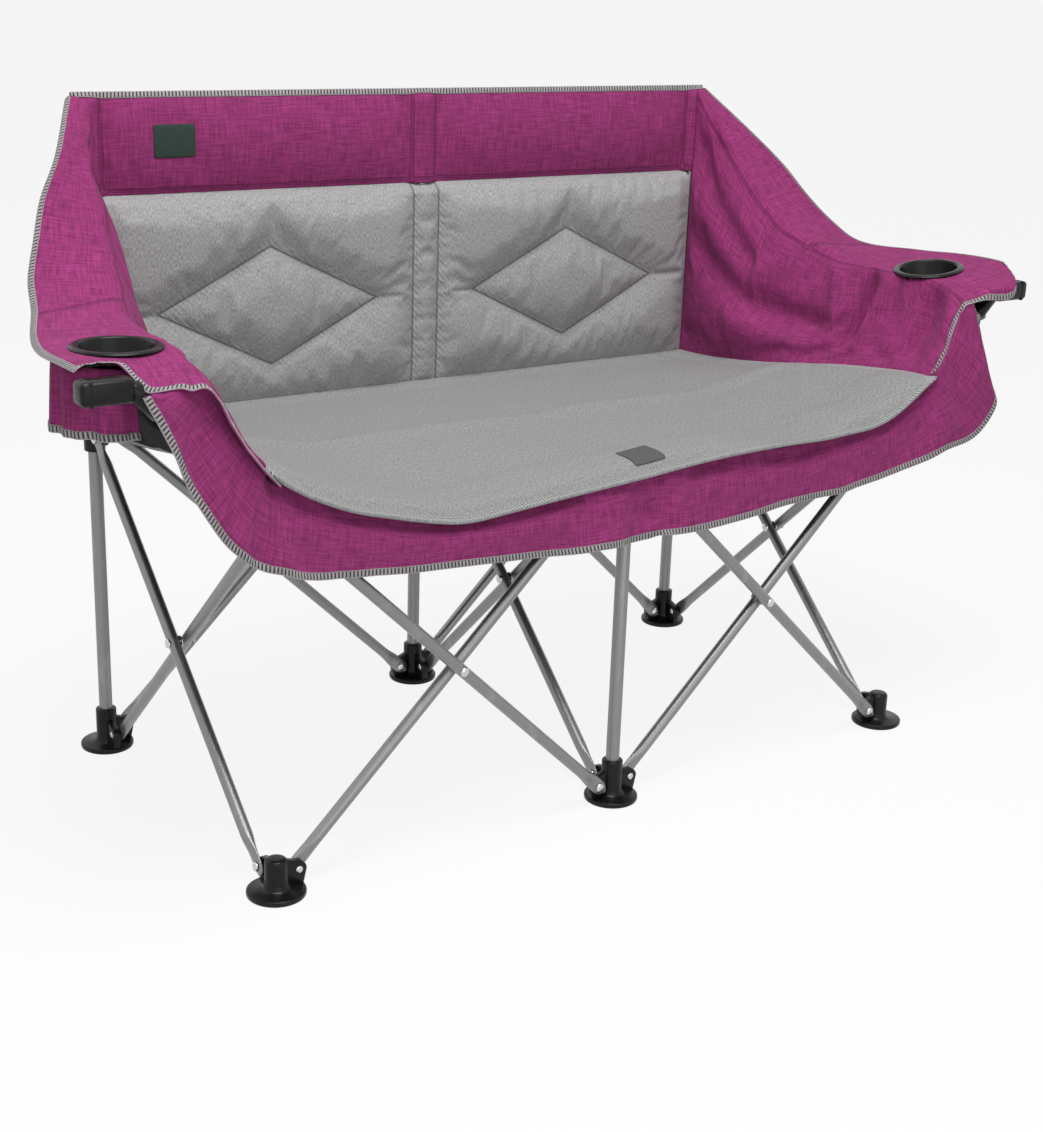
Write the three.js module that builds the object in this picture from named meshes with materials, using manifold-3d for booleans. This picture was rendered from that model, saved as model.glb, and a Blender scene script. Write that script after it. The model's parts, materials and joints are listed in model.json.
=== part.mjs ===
// A folding camping loveseat: an open scissor frame of steel tube under a padded fabric cover.
// Millimetres, +Z up. The sitters face -Y, and the origin lies on the floor at the middle of the frame.
import * as THREE from "three";
import { mergeVertices } from "three/addons/utils/BufferGeometryUtils.js";
import Module from "manifold-3d";

const wasm = await Module();
wasm.setup();

// Frame layout
const PITCH = 530; // between neighbouring corners, across and front to back
const FOOT_PIVOT = 28; // height of the lower pivots
const JOINT_HEIGHT = 474; // height of the upper pivots with the chair open
const PIVOT_OFFSET = 30; // from a corner's axis to its pivots
const POST_TOP = 918; // upper end of the rear posts

// Tubes
const TUBE_R = 8;
const FLAT_HALF = 3.5; // half the thickness of a pressed end
const TUBE_END = 14; // from a pivot to the rounded end of a pressed tube
const PRESS_LENGTH = 30; // over which a pressed stretch turns round again
const CROSS_GAP = 2; // between the two tubes of a cell where they cross
const POST_R = 9.5;
const POST_WALL = 1.2;
const ROD_OVERLAP = 55; // rod left in the front post when the chair is folded
const FOLDED_SPAN = 70; // between the two lower pivots of a folded cell

// Fits
const CLEAR = 0.3; // between pieces that touch or slide
const SEAM = 0.4; // between neighbouring pieces of the cover

// Rivets and plastic fittings
const RIVET_R = 3;
const RIVET_HEAD_R = 6.5;
const RIVET_HEAD = 3.5;
const EAR_R = 11; // round end of an ear about its pivot
const SOCKET_WALL = 5;
const FOOT_R = 38;
const FOOT_EDGE = 3; // rounding of a foot's pad
const FOOT_BASE = 8; // thickness of a foot's pad
const SOCKET_TOP = 60; // upper rim of a foot's post socket
const SLIDER_DROP = 24; // slider below its pivots
const SLIDER_RISE = 16; // slider above its pivots
const WEB_HALF = 6; // half height of a corner bracket's web
const LIP = 1.5; // bevel on the rims of sockets, sliders and plugs
const PLUG_DEPTH = 18;
const PLUG_RIM = 5;
const CAP_LENGTH = 62;
const CAP_OVERHANG = 13; // of the caps past the arms' outer edges
const CAP_SIZE = 28;
const CAP_CORNER = 7;
const CAP_SLEEVE = 45;
const CAP_WALL = 3.5;
const CAP_BEVEL = 2;

// Cover
const CLOTH = 5; // thickness of a lined cloth panel
const BAND_HEIGHT = 137; // magenta band along the top of the back
const BAND_CLOTH = 10; // its thickness between the post sleeves
const SLEEVE_WALL = 3;
const SLEEVE_REACH = 34; // half width over which the band swells round a post
const BAND_OVERHANG = 15; // past the outer posts
const SEAT_PAD = 12;
const SEAT_CROWN = 6;
const SEAT_INSET = 11; // from the outer corners' axes to the seat's sides
const SEAT_REAR_INSET = 27; // from the rear posts' axes to the seat's rear edge
const SEAT_SPLIT = 20; // the cross seam, in front of the middle
const ROLL_INNER = 4; // inside radius of the rolled front edge
const FRONT_DROP = 18; // of the seat's front edge, below the roll
const SIDE_RISE = 56; // of the seat's front corners
const SIDE_WIDTH = 200; // over which they rise
const FRONT_SAG = 12; // of the seat's front edge on each half
const BACK_PAD = 18;
const BACK_EDGE = 8; // thickness of the back pad at its rim
const BACK_INSET = 11.5; // from the outer posts' axes to the pad's sides
const STRIP_HALF = 22; // half the width of the sewn strip at the middle of the back
const QUILT_HALF_WIDTH = 176;
const QUILT_HALF_HEIGHT = 85;
const CHANNEL_HALF = 20; // half the width of a sewn channel
const CHANNEL_DEPTH = 8;
const ARM_LIFT = 2.4; // of an arm's hem over its cap
const ARM_OUTER = 752; // sideways from the middle to the arm's outer edge
const ARM_BAND = 152; // width of the arm's flat top
const ARM_SAG = 12; // of the inner side of an arm
const HEM = 8;
const FLAP_DROP = 80;
const FLAP_R = 60; // of the wall round the cup holder, at its top
const FLAP_FLARE = 8; // wider at its foot
const FLAP_FROM = -115; // degrees, from its front end round by the outer side
const FLAP_TO = 80; // to its rear end
const FLAP_FOLD = 2.5; // depth of its folds
const FLAP_FOLDS = 9; // folds in a full round
const SKIRT_DROP = 76; // height of the skirt at the middle
const SKIRT_BULGE = 2.5;
const SKIRT_LAP = 8; // of the skirt over the seat's front edge
const SKIRT_SWEEP = 30; // rise of its lower edge from the middle to the outer corners
const CUP_INSET = 97; // from an arm's outer edge to the middle of its cup holder
const CUP_BACK = 95; // cup holder, behind the front corners' axes
const CUP_R = 43; // inside
const CUP_WALL = 2.5;
const CUP_DEPTH = 66;
const CUP_FLANGE = 8;
const CUP_FLANGE_THICK = 3;
const CUP_TAPER = 4;
const CUP_ROUND = 4;

// Values that follow from the sizes above
const HALF_DEPTH = PITCH / 2;
const SPAN = PITCH - 2 * PIVOT_OFFSET;
const RISE = JOINT_HEIGHT - FOOT_PIVOT;
const LINK = Math.hypot(SPAN, RISE);
const LEAN = Math.atan2(SPAN, RISE);
const FOLDED_RISE = Math.sqrt(LINK ** 2 - FOLDED_SPAN ** 2) - RISE;
const CELL_OFFSET = TUBE_R + CROSS_GAP / 2;
const EAR_HALF = CELL_OFFSET - FLAT_HALF - CLEAR;
const FLAT_WIDTH = FLAT_HALF + (Math.PI * (TUBE_R - FLAT_HALF)) / 2;
const SOCKET_R = POST_R + CLEAR + SOCKET_WALL;
const ROD_R = POST_R - POST_WALL - CLEAR;
const HUB_TOP = JOINT_HEIGHT + SLIDER_RISE;
const HUB_BOTTOM = JOINT_HEIGHT - SLIDER_DROP;
const ARM_REACH = ARM_OUTER + CAP_OVERHANG - CAP_LENGTH;
const ARM_LENGTH = (ARM_REACH - PIVOT_OFFSET) / Math.sin(LEAN);
const ARM_HEIGHT = FOOT_PIVOT + ARM_LENGTH * Math.cos(LEAN) + CAP_SIZE / 2 + ARM_LIFT + HEM;
const SEAT_UNDER = HUB_TOP + SEAM;
const SEAT_TOP = SEAT_UNDER + SEAT_PAD;
const SEAT_HALF = PITCH - SEAT_INSET;
const SEAT_REAR = HALF_DEPTH - SEAT_REAR_INSET;
const RIVET_REACH = EAR_HALF + 2 * CLEAR + 2 * FLAT_HALF + RIVET_HEAD;
const ROLL_R = ROLL_INNER + SEAT_PAD;
const SEAT_FRONT = -HALF_DEPTH - Math.max(RIVET_REACH, SOCKET_R) - SEAM - SEAT_PAD;
const SEAT_LEVEL = SEAT_REAR - SEAT_FRONT - ROLL_R;
const SEAT_LENGTH = SEAT_LEVEL + (ROLL_R * Math.PI) / 2 + FRONT_DROP;
const BACK_BOTTOM = SEAT_TOP - SEAT_PAD / 2;
const COVER_TOP = POST_TOP + PLUG_RIM + CLEAR + SLEEVE_WALL + BAND_CLOTH;
const BAND_BOTTOM = COVER_TOP - BAND_HEIGHT;
const SLEEVE_HALF = POST_R + CLEAR + SLEEVE_WALL;
const PAD_BACK = HALF_DEPTH - POST_R - SEAM;
const CAP_SLEEVE_R = TUBE_R + CLEAR + CAP_WALL;
const ARM_Y = -HALF_DEPTH - CELL_OFFSET - CAP_SLEEVE_R;
const ARM_RIDGE = ARM_OUTER - ARM_BAND;
const SKIRT_Y = SEAT_FRONT - SEAM - CLOTH;
const SKIRT_SIDE_Y = ARM_Y - SEAM - CLOTH;
const SKIRT_TOP = SEAT_TOP - ROLL_R - FRONT_DROP + SKIRT_LAP;
const SKIRT_BOTTOM = SKIRT_TOP - SKIRT_LAP - SKIRT_DROP;
const CUP_SIDE = ARM_OUTER - CUP_INSET;
const CUP_Y = -HALF_DEPTH + CUP_BACK;

// Facets round a tube, a small pin and a large round
const TUBE_SIDES = 10;
const PIN_SIDES = 8;
const ROUND_SIDES = 12;
const CUP_SIDES = 16;

// Cells of the cover's grids; of an arm cover's, how many lie on its inner side and on its hem
const SEAT_CELLS = 12;
const BACK_CELLS = 36;
const BACK_ROWS = 10;
const SKIRT_CELLS = 40;
const SKIRT_ROWS = 3;
const FLAP_CELLS = 14;
const FLAP_ROWS = 2;
const ARM_ACROSS = 10;
const ARM_ALONG = 14;
const ARM_SIDE_CELLS = 4;
const ARM_HEM_CELLS = 1;

const UP = new THREE.Vector3(0, 0, 1);

const steel = { color: 0x8e9092, roughness: 0.35, metalness: 0.9 };
const rivetSteel = { color: 0xb9bbbd, roughness: 0.3, metalness: 0.95 };
const blackPlastic = { color: 0x17181a, roughness: 0.45, metalness: 0 };
const magentaCloth = { color: 0x8c2d68, roughness: 0.95, metalness: 0 };
const greyFleece = { color: 0x8d8d8d, roughness: 1, metalness: 0 };
const blackCloth = { color: 0x1b1b1d, roughness: 0.95, metalness: 0 };

function piece(name, geometry, look) {
  const made = new THREE.Mesh(geometry, new THREE.MeshStandardMaterial(look));
  made.name = name;
  return made;
}

function group(position, turn, ...children) {
  const made = new THREE.Group();
  made.position.set(...position);
  made.rotation.z = turn;
  made.add(...children);
  return made;
}

// Solids

function solid(geometry) {
  const bare = new THREE.BufferGeometry();
  bare.setAttribute("position", geometry.getAttribute("position").clone());
  bare.setIndex(geometry.index);
  const merged = mergeVertices(bare, 1e-3);
  const corners = merged.index.array;
  const kept = [];
  for (let i = 0; i < corners.length; i += 3) {
    const [a, b, c] = corners.slice(i, i + 3);
    if (a !== b && b !== c && c !== a) kept.push(a, b, c);
  }
  const mesh = new wasm.Mesh({
    numProp: 3,
    vertProperties: merged.getAttribute("position").array,
    triVerts: new Uint32Array(kept),
  });
  return new wasm.Manifold(mesh);
}

function geometryOf(body) {
  const mesh = body.getMesh();
  const made = new THREE.BufferGeometry();
  made.setAttribute("position", new THREE.BufferAttribute(mesh.vertProperties, 3));
  made.setIndex(new THREE.BufferAttribute(mesh.triVerts, 1));
  return made;
}

function fuse(...geometries) {
  return geometryOf(geometries.map(solid).reduce((whole, part) => whole.add(part)));
}

function cut(geometry, ...tools) {
  return geometryOf(tools.map(solid).reduce((rest, tool) => rest.subtract(tool), solid(geometry)));
}

// A turned solid about +Z from [radius, height] points that start and end on the axis.
function turned(profile, sides = ROUND_SIDES) {
  const points = profile.map(([radius, height]) => new THREE.Vector2(radius, height));
  return new THREE.LatheGeometry(points, sides).rotateX(Math.PI / 2);
}

function cylinder(radius, bottom, top, sides) {
  return turned([[0, bottom], [radius, bottom], [radius, top], [0, top]], sides);
}

// The same, lying along +Y.
function crossPin(radius, from, to) {
  return cylinder(radius, from, to, PIN_SIDES).rotateX(-Math.PI / 2);
}

function pipe(outer, inner, bottom, top) {
  return turned([[inner, bottom], [outer, bottom], [outer, top], [inner, top], [inner, bottom]]);
}

// A plate in the XZ plane, from its outline, with its thickness shared to both sides.
function plate(outline, half) {
  const made = new THREE.ExtrudeGeometry(outline, { depth: 2 * half, bevelEnabled: false, curveSegments: 4 });
  return made.rotateX(Math.PI / 2).translate(0, half, 0);
}

// A closed skin through rings of points, with a fan over each end.
function loft(rings) {
  const sides = rings[0].length;
  const points = rings.flat();
  const faces = [];
  for (let ring = 0; ring + 1 < rings.length; ring += 1) {
    for (let side = 0; side < sides; side += 1) {
      const a = ring * sides + side;
      const b = ring * sides + ((side + 1) % sides);
      faces.push(a, b, b + sides, a, b + sides, a + sides);
    }
  }
  const last = (rings.length - 1) * sides;
  for (let side = 1; side + 1 < sides; side += 1) {
    faces.push(0, side + 1, side, last, last + side, last + side + 1);
  }
  const made = new THREE.BufferGeometry().setFromPoints(points);
  made.setIndex(faces);
  return made;
}

// A closed solid between a seen surface and its back, both functions of u and v from 0 to 1.
// The seen side is the one that the u direction crossed with the v direction points to.
function between(seen, back, across, along) {
  const points = [];
  const row = across + 1;
  for (const surface of [seen, back]) {
    for (let j = 0; j <= along; j += 1) {
      for (let i = 0; i <= across; i += 1) points.push(surface(i / across, j / along));
    }
  }
  const behind = row * (along + 1);
  const faces = [];
  const quad = (a, b, c, d) => faces.push(a, b, c, a, c, d);
  for (let j = 0; j < along; j += 1) {
    for (let i = 0; i < across; i += 1) {
      const a = j * row + i;
      quad(a, a + 1, a + row + 1, a + row);
      quad(behind + a, behind + a + row, behind + a + row + 1, behind + a + 1);
    }
  }
  const wall = (a, b) => quad(a, behind + a, behind + b, b);
  for (let i = 0; i < across; i += 1) {
    wall(i, i + 1);
    wall(along * row + i + 1, along * row + i);
  }
  for (let j = 0; j < along; j += 1) {
    wall((j + 1) * row, j * row);
    wall(j * row + across, (j + 1) * row + across);
  }
  const made = new THREE.BufferGeometry().setFromPoints(points);
  made.setIndex(faces);
  return made;
}

// A surface moved along its own normal, to the seen side where the distance is positive.
function offset(surface, distance) {
  const step = 1e-3;
  return (u, v) => {
    const du = surface(Math.min(u + step, 1), v).sub(surface(Math.max(u - step, 0), v));
    const dv = surface(u, Math.min(v + step, 1)).sub(surface(u, Math.max(v - step, 0)));
    return surface(u, v).addScaledVector(du.cross(dv).normalize(), distance);
  };
}

// A cloth panel of even thickness behind a seen surface.
function cloth(seen, across, along) {
  return between(seen, offset(seen, -CLOTH), across, along);
}

function curve(...points) {
  return new THREE.CatmullRomCurve3(points.map((point) => new THREE.Vector3(...point)));
}

const { clamp, lerp, smoothstep } = THREE.MathUtils;

// Scissor tubes

// A tube's section at a height along it: round, or pressed flat where it is riveted.
function tubeRing(height, halfWidth, halfThickness) {
  const ring = [];
  for (let side = 0; side < TUBE_SIDES; side += 1) {
    const angle = (side / TUBE_SIDES) * 2 * Math.PI;
    ring.push(new THREE.Vector3(halfWidth * Math.cos(angle), halfThickness * Math.sin(angle), height));
  }
  return ring;
}

// A tube that stands on its lower pivot at the origin, with its three rivet holes.
// Its lower end is pressed, and so is its upper end at the link's length or, where the tube runs on
// to an arm, the stretch round that pivot.
function scissorTube(length) {
  const ellipse = Math.cos(Math.PI / TUBE_SIDES);
  const press = FLAT_HALF / ellipse;
  const roundR = TUBE_R / ellipse;
  const stations = [
    [-TUBE_END, FLAT_WIDTH * 0.5, press],
    [-TUBE_END * 0.5, FLAT_WIDTH, press],
    [TUBE_END, FLAT_WIDTH, press],
    [TUBE_END + PRESS_LENGTH, roundR, roundR],
    [LINK - TUBE_END - PRESS_LENGTH, roundR, roundR],
    [LINK - TUBE_END, FLAT_WIDTH, press],
  ];
  if (length > LINK) {
    stations.push([LINK + 2 * TUBE_END, FLAT_WIDTH, press]);
    stations.push([LINK + 2 * TUBE_END + PRESS_LENGTH, roundR, roundR]);
    stations.push([length, roundR, roundR]);
  } else {
    stations.push([LINK + TUBE_END * 0.5, FLAT_WIDTH, press]);
    stations.push([LINK + TUBE_END, FLAT_WIDTH * 0.5, press]);
  }
  const body = loft(stations.map((station) => tubeRing(...station)));
  const holes = [0, LINK / 2, LINK].map((height) =>
    crossPin(RIVET_R + CLEAR, -2 * TUBE_R, 2 * TUBE_R).translate(0, 0, height),
  );
  return cut(body, ...holes);
}

function domed(radius, seat, height) {
  return [[radius, seat], [radius * 0.6, seat + height], [0, seat + height]];
}

// The rivet where the two tubes of a cell cross, along +Y, with its washer between them.
function crossingRivet() {
  const seat = CELL_OFFSET + TUBE_R + CLEAR;
  const washer = CROSS_GAP / 2 - CLEAR;
  const shank = [[TUBE_R, washer], [RIVET_R, washer], [RIVET_R, seat]];
  const half = [...shank, ...domed(RIVET_HEAD_R, seat, RIVET_HEAD)];
  const other = half.map(([radius, height]) => [radius, -height]).reverse();
  return turned([...other, ...half], PIN_SIDES).rotateX(-Math.PI / 2);
}

// The plastic elbow on an arm tube's end: a sleeve on the tube and a square grip that points outward.
function armCap(outward) {
  const half = CAP_SIZE / 2 - CAP_CORNER;
  const outline = new THREE.Shape();
  for (const [index, [x, y]] of [[half, half], [-half, half], [-half, -half], [half, -half]].entries()) {
    outline.absarc(x, y, CAP_CORNER, (index * Math.PI) / 2, ((index + 1) * Math.PI) / 2, false);
  }
  const grip = new THREE.ExtrudeGeometry(outline, {
    depth: CAP_LENGTH - 2 * CAP_BEVEL,
    bevelThickness: CAP_BEVEL,
    bevelSize: CAP_BEVEL,
    bevelOffset: -CAP_BEVEL,
    bevelSegments: 1,
    curveSegments: 3,
  });
  grip.translate(0, 0, CAP_BEVEL).rotateY((outward * Math.PI) / 2);
  const sleeve = cylinder(CAP_SLEEVE_R, -CAP_SLEEVE, CAP_WALL, ROUND_SIDES);
  const bore = cylinder(TUBE_R / Math.cos(Math.PI / TUBE_SIDES) + CLEAR, -2 * CAP_SLEEVE, CLEAR, ROUND_SIDES);
  sleeve.rotateY(outward * LEAN);
  bore.rotateY(outward * LEAN);
  return cut(fuse(grip, sleeve), bore);
}

// One scissor cell in the XZ plane between two corners. The tube that rises to the left lies on the
// -Y side of the corners' plane and the other on the +Y side. armSide is -1 or 1 where that tube
// runs on as an arm, and 0 where neither does.
function scissorCell(names, armSide = 0) {
  const cell = new THREE.Group();
  for (const [rising, name] of [[-1, names.risingLeft], [1, names.risingRight]]) {
    const isArm = rising === armSide;
    const length = isArm ? ARM_LENGTH : LINK;
    const tube = piece(name, scissorTube(length), steel);
    tube.position.set((-rising * SPAN) / 2, rising * CELL_OFFSET, FOOT_PIVOT);
    tube.rotation.y = rising * LEAN;
    cell.add(tube);
    if (isArm) {
      const cap = piece(names.cap, armCap(rising), blackPlastic);
      const end = new THREE.Vector3(0, 0, ARM_LENGTH).applyEuler(tube.rotation);
      cap.position.copy(tube.position).add(end);
      cell.add(cap);
    }
  }
  const rivet = piece(names.rivet, crossingRivet(), rivetSteel);
  rivet.position.z = FOOT_PIVOT + RISE / 2;
  cell.add(rivet);
  return cell;
}

// Plastic fittings

// An ear along +X from the corner's axis, with its rivet standing out on one side to hold a tube.
function ear(outline, pivotHeight, rivetSide) {
  const reach = EAR_HALF + 2 * CLEAR + 2 * FLAT_HALF;
  const shank = [[0, 0], [RIVET_R, 0], [RIVET_R, reach]];
  const rivet = turned([...shank, ...domed(RIVET_HEAD_R, reach, RIVET_HEAD)], PIN_SIDES);
  rivet.rotateX((-rivetSide * Math.PI) / 2).translate(PIVOT_OFFSET, 0, pivotHeight);
  return [plate(outline, EAR_HALF), rivet];
}

function earsAt(turns, outline, pivotHeight, rivetSide) {
  return turns.flatMap((turn) => ear(outline, pivotHeight, rivetSide).map((part) => part.rotateZ(turn)));
}

function footEarOutline() {
  const outline = new THREE.Shape();
  outline.moveTo(0, FOOT_BASE / 2);
  outline.lineTo(PIVOT_OFFSET + EAR_R / 2, FOOT_BASE / 2);
  outline.lineTo(PIVOT_OFFSET + EAR_R, FOOT_PIVOT);
  outline.absarc(PIVOT_OFFSET, FOOT_PIVOT, EAR_R, 0, Math.PI / 2, false);
  outline.lineTo(0, FOOT_PIVOT + 2 * EAR_R);
  return outline;
}

function upperEarOutline(rootHalf) {
  const outline = new THREE.Shape();
  outline.moveTo(0, JOINT_HEIGHT - rootHalf);
  outline.lineTo(PIVOT_OFFSET - EAR_R, JOINT_HEIGHT - rootHalf);
  outline.lineTo(PIVOT_OFFSET, JOINT_HEIGHT - EAR_R);
  outline.absarc(PIVOT_OFFSET, JOINT_HEIGHT, EAR_R, -Math.PI / 2, Math.PI / 2, false);
  outline.lineTo(PIVOT_OFFSET - EAR_R, JOINT_HEIGHT + rootHalf);
  outline.lineTo(0, JOINT_HEIGHT + rootHalf);
  return outline;
}

// A boot with a round pad, a column and its ears. With a post the column is a socket.
function foot(turns, hasPost) {
  const top = hasPost ? SOCKET_TOP : FOOT_PIVOT + 2 * EAR_R;
  const boot = turned([
    [0, 0],
    [FOOT_R - FOOT_EDGE, 0],
    [FOOT_R, FOOT_EDGE],
    [FOOT_R, FOOT_BASE - FOOT_EDGE],
    [FOOT_R - FOOT_EDGE, FOOT_BASE],
    [SOCKET_R, FOOT_BASE + LIP],
    [SOCKET_R, top - LIP],
    [SOCKET_R - LIP, top],
    [0, top],
  ]);
  const whole = fuse(boot, ...earsAt(turns, footEarOutline(), FOOT_PIVOT, 1));
  return hasPost ? cut(whole, cylinder(POST_R + CLEAR, FOOT_BASE, top + FOOT_BASE, ROUND_SIDES)) : whole;
}

function sliderBody() {
  return turned([
    [0, HUB_BOTTOM],
    [SOCKET_R - LIP, HUB_BOTTOM],
    [SOCKET_R, HUB_BOTTOM + LIP],
    [SOCKET_R, HUB_TOP - LIP],
    [SOCKET_R - LIP, HUB_TOP],
    [0, HUB_TOP],
  ]);
}

// A slider that rides on a rear post.
function slider(turns) {
  const ears = earsAt(turns, upperEarOutline(EAR_R), JOINT_HEIGHT, -1);
  const bore = cylinder(POST_R + CLEAR, HUB_BOTTOM - EAR_R, HUB_TOP + EAR_R, ROUND_SIDES);
  return cut(fuse(sliderBody(), ...ears), bore);
}

// The front middle hub: it sits on the front post, and its blind bore holds the rod.
function frontHub(turns) {
  const ears = earsAt(turns, upperEarOutline(EAR_R), JOINT_HEIGHT, -1);
  const bore = cylinder(ROD_R + CLEAR, HUB_BOTTOM - EAR_R, JOINT_HEIGHT, ROUND_SIDES);
  return cut(fuse(sliderBody(), ...ears), bore);
}

// A front corner bracket: two ears at a right angle, joined by a low web that lets the arm tube pass.
function cornerBracket(turns) {
  const web = cylinder(EAR_HALF, JOINT_HEIGHT - WEB_HALF, JOINT_HEIGHT + WEB_HALF, PIN_SIDES);
  return fuse(web, ...earsAt(turns, upperEarOutline(WEB_HALF), JOINT_HEIGHT, -1));
}

function postPlug() {
  const bore = POST_R - POST_WALL - CLEAR;
  const seat = POST_TOP + CLEAR;
  return turned([
    [0, POST_TOP - PLUG_DEPTH],
    [bore, POST_TOP - PLUG_DEPTH],
    [bore, seat],
    [POST_R, seat],
    [POST_R - LIP, seat + PLUG_RIM - CLEAR],
    [0, seat + PLUG_RIM - CLEAR],
  ]);
}

// Cover

// The band along the top of the back: a flat cloth that swells into a sleeve round each post.
function backBand() {
  const end = PITCH + BAND_OVERHANG;
  const swell = (x) => {
    const nearest = Math.min(...[-PITCH, 0, PITCH].map((post) => Math.abs(x - post)));
    return lerp(SLEEVE_HALF, BAND_CLOTH / 2, smoothstep(nearest, SLEEVE_WALL * 2, SLEEVE_REACH));
  };
  const stations = [];
  for (const post of [-PITCH, 0, PITCH]) {
    for (const share of [-1, -0.75, -0.5, -0.18, 0.18, 0.5, 0.75, 1]) {
      stations.push(clamp(post + share * SLEEVE_REACH, -end, end));
    }
  }
  const columns = [...new Set(stations)];
  const outline = new THREE.Shape();
  columns.forEach((x, index) => outline[index ? "lineTo" : "moveTo"](x, HALF_DEPTH - swell(x)));
  [...columns].reverse().forEach((x) => outline.lineTo(x, HALF_DEPTH + swell(x)));
  const body = new THREE.ExtrudeGeometry(outline, { depth: BAND_HEIGHT, bevelEnabled: false });
  body.translate(0, 0, BAND_BOTTOM);
  const ceiling = POST_TOP + PLUG_RIM + 2 * CLEAR;
  const bores = [-PITCH, 0, PITCH].map((x) =>
    cylinder(POST_R + CLEAR, BAND_BOTTOM - BAND_CLOTH, ceiling, ROUND_SIDES).translate(x, HALF_DEPTH, 0),
  );
  return cut(body, ...bores);
}

// Depth of the back's sewn channels at a point: a diamond on each half and the two seams of the strip
// at the middle.
function channel(x, z) {
  const middle = (PITCH - BACK_INSET + STRIP_HALF) / 2;
  const height = (BACK_BOTTOM + BAND_BOTTOM) / 2;
  const across = (Math.abs(x) - middle) / QUILT_HALF_WIDTH;
  const up = (z - height) / QUILT_HALF_HEIGHT;
  const scale = QUILT_HALF_WIDTH / Math.hypot(1, QUILT_HALF_WIDTH / QUILT_HALF_HEIGHT);
  const quilt = Math.abs(Math.abs(across) + Math.abs(up) - 1) * scale;
  const strip = Math.abs(Math.abs(x) - STRIP_HALF);
  return CHANNEL_DEPTH * (1 - smoothstep(Math.min(quilt, strip), 0, CHANNEL_HALF));
}

// A pad's fullness: 0 at its rim, 1 over most of it. u and v run from 0 to 1.
function fullness(u, v) {
  return (1 - (2 * u - 1) ** 6) * (1 - (2 * v - 1) ** 4);
}

function backPad() {
  const half = PITCH - BACK_INSET;
  const top = BAND_BOTTOM - SEAM;
  const at = (u, v) => [lerp(-half, half, u), lerp(BACK_BOTTOM, top, v)];
  const seen = (u, v) => {
    const [x, z] = at(u, v);
    const full = fullness(u, v);
    const thickness = BACK_EDGE + (BACK_PAD - BACK_EDGE) * full - channel(x, z) * full;
    return new THREE.Vector3(x, PAD_BACK - thickness, z);
  };
  const back = (u, v) => {
    const [x, z] = at(u, v);
    return new THREE.Vector3(x, PAD_BACK, z);
  };
  return between(seen, back, BACK_CELLS, BACK_ROWS);
}

// How far the seat climbs towards its front corners, and sags between them and the middle.
function seatRise(x, y) {
  const side = smoothstep(Math.abs(x), SEAT_HALF - SIDE_WIDTH, SEAT_HALF);
  const forward = 1 - smoothstep(y, SEAT_FRONT, SEAT_REAR);
  const sag = Math.sin(Math.PI * smoothstep(Math.abs(x), (2 * SEAT_HALF) / SEAT_CELLS, SEAT_HALF)) ** 2;
  return SIDE_RISE * side * forward - FRONT_SAG * sag * forward ** 3;
}

// The seat at a distance along its length: level, rolled over the front, then straight down.
// inset is 0 on the seen side.
function seatPoint(x, distance, inset) {
  const past = distance - SEAT_LEVEL;
  const angle = clamp(past / ROLL_R, 0, Math.PI / 2);
  const drop = Math.max(0, past - (ROLL_R * Math.PI) / 2);
  const radius = ROLL_R - inset;
  const y = SEAT_REAR - Math.min(distance, SEAT_LEVEL) - radius * Math.sin(angle);
  const z = SEAT_TOP - ROLL_R + radius * Math.cos(angle) - drop;
  return new THREE.Vector3(x, y, z + seatRise(x, y));
}

// A stretch of the seat pad between rows at the given distances along it, crowned on each half.
function seatPad(rows) {
  const fit = (u, v) => [lerp(SEAT_HALF, -SEAT_HALF, u), rows[Math.round(v * (rows.length - 1))]];
  const seen = (u, v) => {
    const [x, distance] = fit(u, v);
    const side = Math.abs(x) / SEAT_HALF;
    const depth = Math.min(distance / SEAT_LEVEL, 1);
    const crown = SEAT_CROWN * (1 - (2 * side - 1) ** 4) * Math.sin(Math.PI * depth);
    return seatPoint(x, distance, 0).addScaledVector(UP, crown);
  };
  const back = (u, v) => {
    const [x, distance] = fit(u, v);
    return seatPoint(x, distance, SEAT_PAD);
  };
  return between(seen, back, SEAT_CELLS, rows.length - 1);
}

function evenRows(from, to, count) {
  return Array.from({ length: count }, (_, index) => lerp(from, to, index / (count - 1)));
}

// An arm cover on the +X side: the inner side from the seat up to the ridge, the flat top and a hem.
const armInner = curve(
  ...[SEAT_REAR, HALF_DEPTH / 2, 0, ARM_Y / 2, ARM_Y].map((y) => [
    SEAT_HALF + SEAM,
    y,
    SEAT_TOP + seatRise(SEAT_HALF, y),
  ]),
);
const armRidge = curve(
  [PITCH, PAD_BACK - 2 * CLOTH, COVER_TOP - HEM],
  [PITCH + HEM, HALF_DEPTH / 2, lerp(ARM_HEIGHT, COVER_TOP, 0.3)],
  [lerp(PITCH, ARM_RIDGE, 0.75), 0, ARM_HEIGHT + HEM / 2],
  [ARM_RIDGE, ARM_Y / 2, ARM_HEIGHT],
  [ARM_RIDGE + 2 * HEM, ARM_Y, ARM_HEIGHT - 1.5 * HEM],
);
const armEdge = curve(
  [PITCH + HEM, PAD_BACK - 2 * CLOTH, COVER_TOP - HEM / 2],
  [lerp(PITCH, ARM_OUTER, 0.5), HALF_DEPTH / 2, lerp(ARM_HEIGHT, COVER_TOP, 0.38)],
  [lerp(PITCH, ARM_OUTER, 0.87), 0, ARM_HEIGHT + HEM / 2],
  [ARM_OUTER, ARM_Y / 2, ARM_HEIGHT],
  [ARM_OUTER - HEM, ARM_Y, ARM_HEIGHT],
);

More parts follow.
